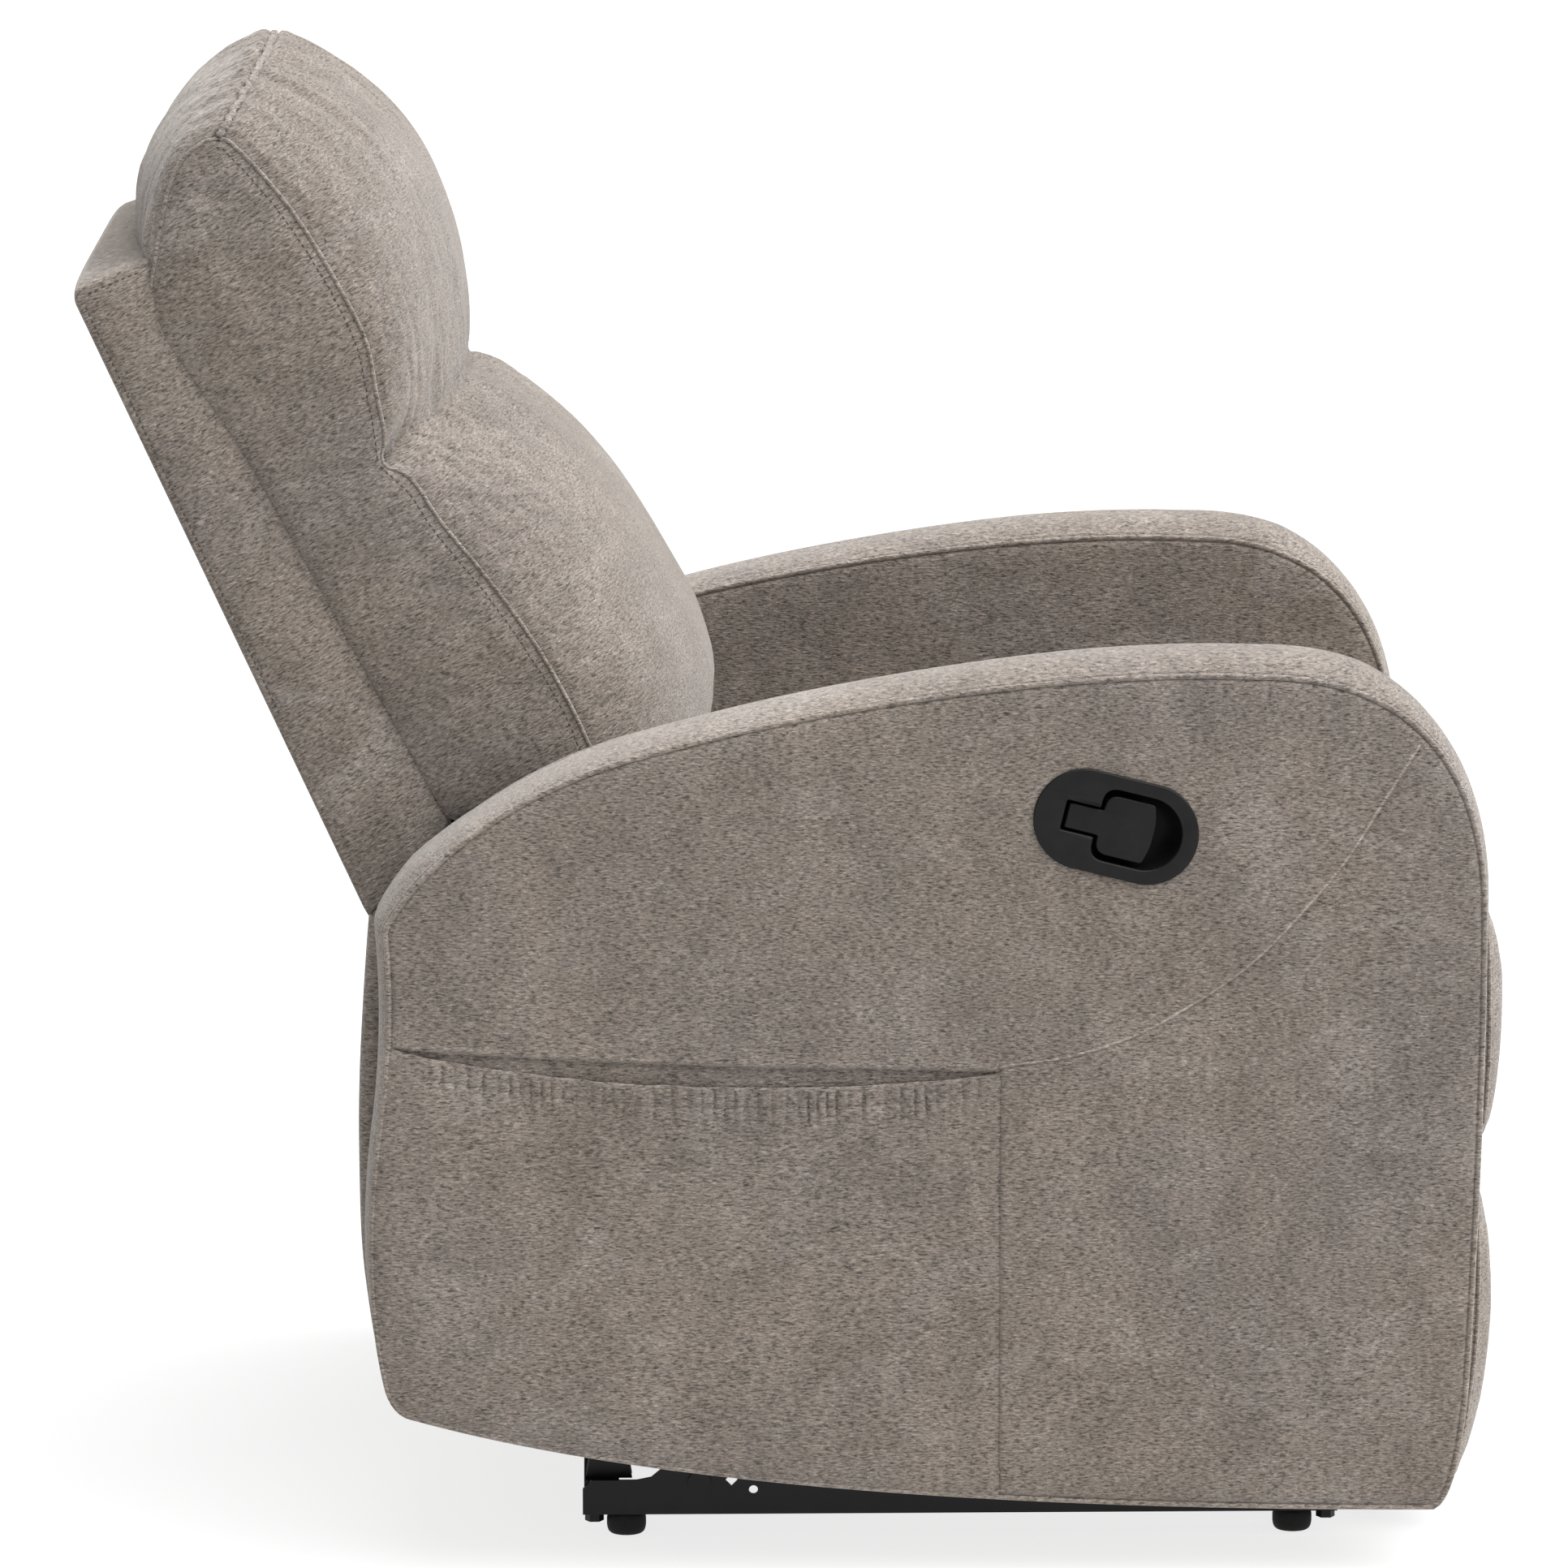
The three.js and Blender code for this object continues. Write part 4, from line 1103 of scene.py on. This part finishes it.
# ---- back cover --------------------------------------------------------------------------
def make_back_cover():
    half = SHELL_HALF / MM - 1
    top_near = on_back(BACK_LENGTH - 4, 52)
    corner = on_back(BACK_LENGTH, 0)
    parts = (
        ([BACK_FOOT, on_back(BACK_LENGTH - 9, 0)], [on_back(0, -1), on_back(BACK_LENGTH - 9, -3)], 90),
        (
            quad(on_back(BACK_LENGTH - 9, 0), corner, on_back(BACK_LENGTH - 1.5, 9), 8),
            quad(on_back(BACK_LENGTH - 9, -3), corner + (3, 4), on_back(BACK_LENGTH + 5, 9), 8),
            8,
        ),
        ([on_back(BACK_LENGTH - 1, 9), top_near], [on_back(BACK_LENGTH + 5, 9), top_near + (-1, 4)], 12),
        ([top_near, on_back(35, 79)], [top_near + (-1, 4), on_back(35, 79)], 90),
        ([on_back(35, 79), BACK_FOOT], [on_back(35, 79), on_back(0, -1)], 18),
    )
    seam, middle = loops(parts)
    out = outward(seam)
    open_edge = fade(np.maximum(-out @ BACK_IN, out @ BACK_UP), 0.2, 0.7)

    def crown(part, near):
        return (1 - abs(part) ** 6) ** 0.5, shoulder(near, 14, 0.8 * open_edge, 1.2)

    def panel(points, gap, end):
        deep = (points - BACK_FOOT) @ BACK_IN
        face = swell(gap, 2.0, 5) - 0.9 * bump(gap, 4.5, 1.0) * (deep < 12)
        return face + 1.2 * rough(points, 1 / 80, 13) * fade(gap, 2, 30)

    cover = boxed("back_cover", seam, middle, -half, half, crown, panel, grid=10)
    points = coords(cover) / MM  # its front edges turn in, under the cushion's sides
    place = points[:, 1:] - BACK_FOOT
    front = 52 + (BACK_LENGTH - place @ BACK_UP) * 27 / BACK_LENGTH
    turn_in = 10 * fade(place @ BACK_IN - front, -34, 0) * fade(abs(points[:, 0]), half - 25, half)
    points[:, 0] -= np.sign(points[:, 0]) * turn_in
    set_coords(cover, points * MM)
    return cover


def cover_stitches():
    """The topstitching along the rear and top edges of the cover's sides."""
    tree = shell_tree(back_cover)
    rear = np.array([on_back(up, 3.6) for up in np.linspace(150, BACK_LENGTH - 10, 160)])
    top = np.array([on_back(BACK_LENGTH - 5, deep) for deep in np.linspace(9, 49, 30)])
    rows = [
        stitches(f"cover_thread_{i}", laid_on(tree, line, THREAD_LIFT))
        for i, line in enumerate(on_sides(rear, SHELL_HALF / MM) + on_sides(top, SHELL_HALF / MM))
    ]
    return join_objects(*rows)


back_cover = make_back_cover()
cover_threads = cover_stitches()
cover_threads.name = "back_cover_topstitch"
dress(cover_threads, THREAD, "upholstery", "back")
dress(back_cover, VELOUR_BACK_PAINTED_SHADE, "upholstery", "back", "back_shell")


# ---- cloth flap behind the chair ---------------------------------------------------------
FLAP_LINE = [(288, 437), (290, 412), (293, 368), (295.5, 323), (296.5, 278), (295.5, 210), (291, 165),
             (285, 128), (278, 97)]
FLAP_RETURN = 30  # mm that the flap turns forward inside each arm


def make_flap():
    """A hemmed cloth, sewn to the back, tacked under the chair and turned in at its sides."""
    half = SHELL_HALF / MM - 1.5
    line = through(FLAP_LINE, 78)
    turn = 9  # radius of the turned edges
    corner = arc((half - turn, -turn), turn, 0, 90, 8)
    plan = np.vstack([[(half, -FLAP_RETURN)], corner])  # (x, y) from one edge to the middle
    plan = even(np.vstack([plan, (plan * [-1, 1])[::-1]]), 180)
    verts = []
    for k, (y, z) in enumerate(line):
        down = k / (len(line) - 1)
        wave = 3.0 * math.sin(down * math.pi)
        spots = np.column_stack([plan[:, 0] * 0.009, np.full(len(plan), down * 1.6), plan[:, 1] * 0.01])
        fold = wave * rough(spots, 1.0, 51) + 0.7 * wave * rough(spots * [3, 1, 1], 1.0, 52)
        flat = fade(plan[:, 1], -turn, 0)
        hem = 0.8 * bump((1 - down) * 345, 0, 12)
        side = np.sign(plan[:, 0]) * (1 - flat) * wave * rough(spots * [1, 3, 3], 1.0, 53)
        depth = y - 1.2 + plan[:, 1] + (fold + hem) * flat
        verts.append(np.column_stack([plan[:, 0] + side, depth, np.full(len(plan), z)]) * MM)
    obj = mesh_object("rear_flap", np.vstack(verts), quads(len(line), len(plan), around=False))
    return thicken(obj, 0.0024, 0)


flap = make_flap()
dress(flap, VELOUR_ARM, "upholstery", None, "back_flap")
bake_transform(flap)


# ---- seat --------------------------------------------------------------------------------
SEAT_PARTS = (
    (
        [(-419, 356), (-421, 400), (-423, 446), (-443, 458), (-443, 470), (-420, 478), (-390, 478)],
        [(-419, 354), (-424, 400), (-430, 446), (-455, 456), (-455, 474), (-432, 489), (-390, 495)],
        60,
    ),
    (
        [(-390, 478), (-200, 478), (-20, 464), (60, 452)],
        [(-390, 495), (-200, 499), (-20, 483), (50, 466)],
        90,
    ),
    ([(60, 452), (100, 440), (115, 424), (116, 400), (116, 354)],
     [(50, 466), (98, 448), (116, 426), (117, 400), (117, 354)], 36),
    ([(116, 354), (-419, 356)], [(117, 354), (-419, 354)], 60),
)


def make_seat():
    seam, middle = loops(SEAT_PARTS)

    def panel(points, gap, end):
        return swell(gap, 3.5, 14)

    half = 267
    seat = boxed("seat_cover", seam, middle, -half, half, crowned(3.2, 0.5), panel, grid=10)
    sewn = [line for part in SEAT_PARTS[:3] for line in on_sides(through(part[0], 70), half)]
    nose = across_line(-452, 462, 0.262)
    cross = across_line(-330, 497, 0.255, sag=0.014)
    base = on_sides(through(SEAT_PARTS[3][0], 60), half)
    floor = [across_line(y, 354, 0.262) for y in (-410, -250, -90, 60, 110)]
    inflate(seat, [*sewn, *base, nose, *floor], 0.006, 0.011, shrink=0.005)
    gathers(seat, cross, 0.03, 0.0011, 17, 61)
    groove_and_fold(seat, [cross], 0.0035, 0.001, 0.005)
    groove_and_fold(seat, [nose], 0.0025, 0.0008, 0.004)
    return seat, sewn


seat_cover, seat_sewn = make_seat()


seat_beads = beads_on("seat_cover_seams", seat_cover, seat_sewn)
dress(seat_cover, VELOUR_ARM, "upholstery", "carriage", "seat_cushion")
dress(seat_beads, VELOUR_FOLD_PAINTED_HIGHLIGHT, "upholstery", "carriage")


# ---- footrest ----------------------------------------------------------------------------
REST_PARTS = (
    ([(-434, 449), (-458, 449), (-471, 425), (-475, 350), (-471, 285), (-459, 255)],
     [(-434, 451), (-462, 451), (-480, 425), (-485, 350), (-481, 285), (-462, 255)], 62),
    ([(-459, 255), (-468, 225), (-469, 140), (-459, 60), (-447, 24), (-434, 20)],
     [(-462, 255), (-478, 225), (-479, 140), (-469, 60), (-452, 21), (-434, 18)], 72),
    ([(-434, 20), (-434, 449)], [(-434, 18), (-434, 451)], 60),
)


def make_footrest():
    seam, middle = loops(REST_PARTS)

    def panel(points, gap, end):
        return swell(gap, 2.5, 10)

    half = 268
    rest = boxed("footrest_cover", seam, middle, -half, half, crowned(3.5, 0.5), panel)
    sewn = [line for part in REST_PARTS[:2] for line in on_sides(through(part[0], 70), half)]
    fold = across_line(-462, 255, 0.266)
    behind = on_sides(through(REST_PARTS[2][0], 60), half)
    stapled = [across_line(-434, z, 0.266) for z in (22, 90, 160, 230, 300, 370, 447)]
    inflate(rest, [*sewn, fold, *behind, *stapled], 0.0055, 0.008, shrink=0.005)
    gathers(rest, fold, 0.03, 0.0010, 21, 71)
    groove_and_fold(rest, [fold], 0.003, 0.001, 0.005)
    return rest, sewn


footrest, rest_sewn = make_footrest()
rest_beads = beads_on("footrest_cover_seams", footrest, rest_sewn)
dress(footrest, VELOUR_ARM, "upholstery", "footrest", "footrest_pad_upper", "footrest_pad_lower")
dress(rest_beads, VELOUR_FOLD_PAINTED_HIGHLIGHT, "upholstery", "footrest")


# ---- release handle ----------------------------------------------------------------------
def rounded(corners, count=7):
    """An outline from (x, y, radius) corners, each cut round at its radius."""
    pts = np.array([c[:2] for c in corners], float)
    line = []
    for i, (*_, radius) in enumerate(corners):
        here = pts[i]
        before, after = pts[i - 1] - here, pts[(i + 1) % len(pts)] - here
        before /= np.linalg.norm(before)
        after /= np.linalg.norm(after)
        half = math.acos(np.clip(before @ after, -1, 1)) / 2
        reach = radius / math.tan(half) if radius else 0
        start, end = here + before * reach, here + after * reach
        line.append(np.vstack([quad(start, here, end, count), end]))
    return np.vstack(line)


def recess_outline(grow=0.0):
    """The T-shaped recess: a narrow tail behind and a wide well with a round front end."""
    tail, well, back = 10.3 + grow, 24.5 + grow, -13 - grow
    left = [(back, tail, 1.2), (-36 - grow, tail, 1.6), (-36 - grow, -tail, 1.6), (back, -tail, 1.2)]
    corners = rounded([(20, well, 0), (back, well, 10), *left, (back, -well, 10), (20, -well, 0)])
    return np.vstack([corners, arc((20, 0), well, -90, 90, 40)[1:-1]])


def moulding(name, outlines, low, high, edge):
    """A flat moulding with rounded edges, drawn in the handle's own frame in mm."""
    curve = bpy.data.curves.new(name, "CURVE")
    curve.dimensions = "2D"
    curve.fill_mode = "BOTH"
    for outline in outlines:
        spline = curve.splines.new("POLY")
        spline.points.add(len(outline) - 1)
        for point, (x, y) in zip(spline.points, outline):
            point.co = (x, y, 0, 1)
        spline.use_cyclic_u = True
    curve.bevel_depth = edge
    curve.bevel_resolution = 3
    curve.offset = -edge
    curve.extrude = (high - low) / 2 - edge
    drawn = placed(name, curve)
    mesh = bpy.data.meshes.new_from_object(evaluated(drawn))
    bpy.data.objects.remove(drawn)
    points = np.array([tuple(v.co) for v in mesh.vertices])
    points[:, 2] += (low + high) / 2
    faces = [tuple(p.vertices) for p in mesh.polygons]
    bpy.data.meshes.remove(mesh)
    return in_arm(name, points, faces)


def in_arm(name, points, faces):
    """A mesh from points in the handle's own frame in mm."""
    return mesh_object(name, HANDLE_AT + (points * MM) @ HANDLE_AXES, faces)


def make_cup():
    """The bowl behind the recess."""
    rings = ((0.2, 1.0), (-2, 1.0), (-8, 0.985), (-14, 0.94), (-19, 0.85), (-22, 0.7), (-23, 0.5))
    line = even(recess_outline(0.6), 120, closed=True)
    centre = np.array([6, 0])
    points = np.vstack(
        [np.column_stack([centre + (line - centre) * size, np.full(120, z)]) for z, size in rings]
    )
    faces = quads(len(rings), 120)
    faces.append(tuple(range((len(rings) - 1) * 120, len(rings) * 120)))
    return thicken(in_arm("handle_cup", points, faces), 0.0016, 1)


def make_handle():
    flange = moulding("handle_surround", [stadium(BEZEL_LENGTH, BEZEL_WIDTH), recess_outline()],
                      -3.4, 0.9, 1.3)
    surround = join_objects(flange, make_cup())
    body = rounded(
        [
            (22.5, 20, 3), (25.6, 8, 30), (25.6, -8, 30), (22.5, -20.5, 3), (-10.4, -20.5, 9),
            (-10.4, -8.6, 1.5), (-33.6, -8.6, 1.4), (-33.6, 8.6, 1.4), (-10.4, 8.6, 1.5), (-10.4, 20, 9),
        ]
    )
    paddle = moulding("handle_lever", [body], -6.3, -0.9, 1.1)
    return surround, paddle


surround, paddle = make_handle()
dress(surround, PLASTIC, "handle_plastic", "carriage", "handle_bezel")
dress(paddle, PLASTIC, "handle_plastic", "handle", "handle_paddle")


# ---- feet --------------------------------------------------------------------------------
FOOT_PROFILE = (
    (0, 0), (9.2, 0), (11.0, 0.4), (12.3, 1.5), (13.1, 3.4), (13.5, 6), (13.5, 10.5), (13.1, 13.2),
    (12.2, 14.9), (11.2, 15.4), (4.0, 15.4), (4.0, 15.7), (3.2, 15.7), (3.2, 21), (0, 21),
)


def make_foot(node):
    low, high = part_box(node)
    centre = (np.array(low) + np.array(high)) / 2
    sides = 56
    verts = []
    for radius, z in FOOT_PROFILE:
        for k in range(sides):
            turn = 2 * math.pi * k / sides
            flat = centre[:2] + radius * MM * np.array([math.cos(turn), math.sin(turn)])
            verts.append((*flat, z * MM))
    faces = quads(len(FOOT_PROFILE), sides)
    obj = mesh_object(node.replace("foot", "rubber_foot"), verts, faces)
    dress(obj, RUBBER, "foot_rubber", "base", node)


for end in ("front", "rear"):
    for hand in ("right", "left"):
        make_foot(f"foot_{end}_{hand}")


# ---- the frame's own pieces --------------------------------------------------------------
SLOT_MATERIALS = {
    "black_steel": STEEL,
    "spring_steel": ZINC,
    "timber": WOOD,
    "handle_plastic": PLASTIC,
    "foot_rubber": RUBBER,
    "upholstery": VELOUR_ARM,
}
EDGE_ROUND = {"timber": 0.0018, "black_steel": 0.0005, "spring_steel": 0.0003}


def finish_nodes():
    """Gives each of the frame's pieces its material, and rounds the edges that show."""
    for part in frame["record"]["subparts"]:
        obj = bpy.data.objects[part["node"]]
        kind = part["material_slot"]
        obj.data.materials.clear()
        obj.data.materials.append(SLOT_MATERIALS[kind])
        if kind in EDGE_ROUND and not obj.hide_render:
            edge = obj.modifiers.new("edges", "BEVEL")
            edge.width = EDGE_ROUND[kind]
            edge.segments = 2
            edge.limit_method = "ANGLE"
            edge.angle_limit = math.radians(38)


finish_nodes()


# ---- floor, light and camera -------------------------------------------------------------
def make_floor():
    bpy.ops.mesh.primitive_plane_add(size=80, location=(0, 0, -0.0005))
    floor = bpy.context.object
    floor.name = "studio_floor"
    g = Graph("pale_floor")
    g.shade(Base_Color=(0.18, 0.18, 0.18, 1), Roughness=0.9)
    g.shade(Emission_Color=(1, 1, 1, 1), Emission_Strength=0.79)
    floor.data.materials.append(g.material)


def soft_sun(name, towards, spread_degrees, power):
    """A wide overhead light that falls alike on the chair and on the whole floor."""
    lamp = bpy.data.lights.new(name, "SUN")
    lamp.angle = math.radians(spread_degrees)
    lamp.energy = power
    placed(name, lamp).rotation_euler = Vector(towards).to_track_quat("Z", "Y").to_euler()


def make_lights():
    world = bpy.data.worlds.new("studio")
    world.use_nodes = True
    sky = world.node_tree.nodes["Background"].inputs
    sky["Color"].default_value = (1, 1, 1, 1)
    sky["Strength"].default_value = 0.50
    bpy.context.scene.world = world
    soft_sun("overhead", (-0.12, -0.50, 1.0), 80, 6.5)


def make_camera():
    lens = bpy.data.cameras.new("camera")
    lens.lens = 192.9
    lens.sensor_width = 36
    lens.clip_end = 200
    camera = placed("camera", lens)
    camera.location = (-5.8712, 0.1339, 1.4741)
    aim = Vector((0, 0.0008, 0.4764))
    camera.rotation_euler = (aim - camera.location).to_track_quat("-Z", "Y").to_euler()
    bpy.context.scene.camera = camera


make_floor()
make_lights()
make_camera()
bpy.context.scene.view_settings.view_transform = "Standard"
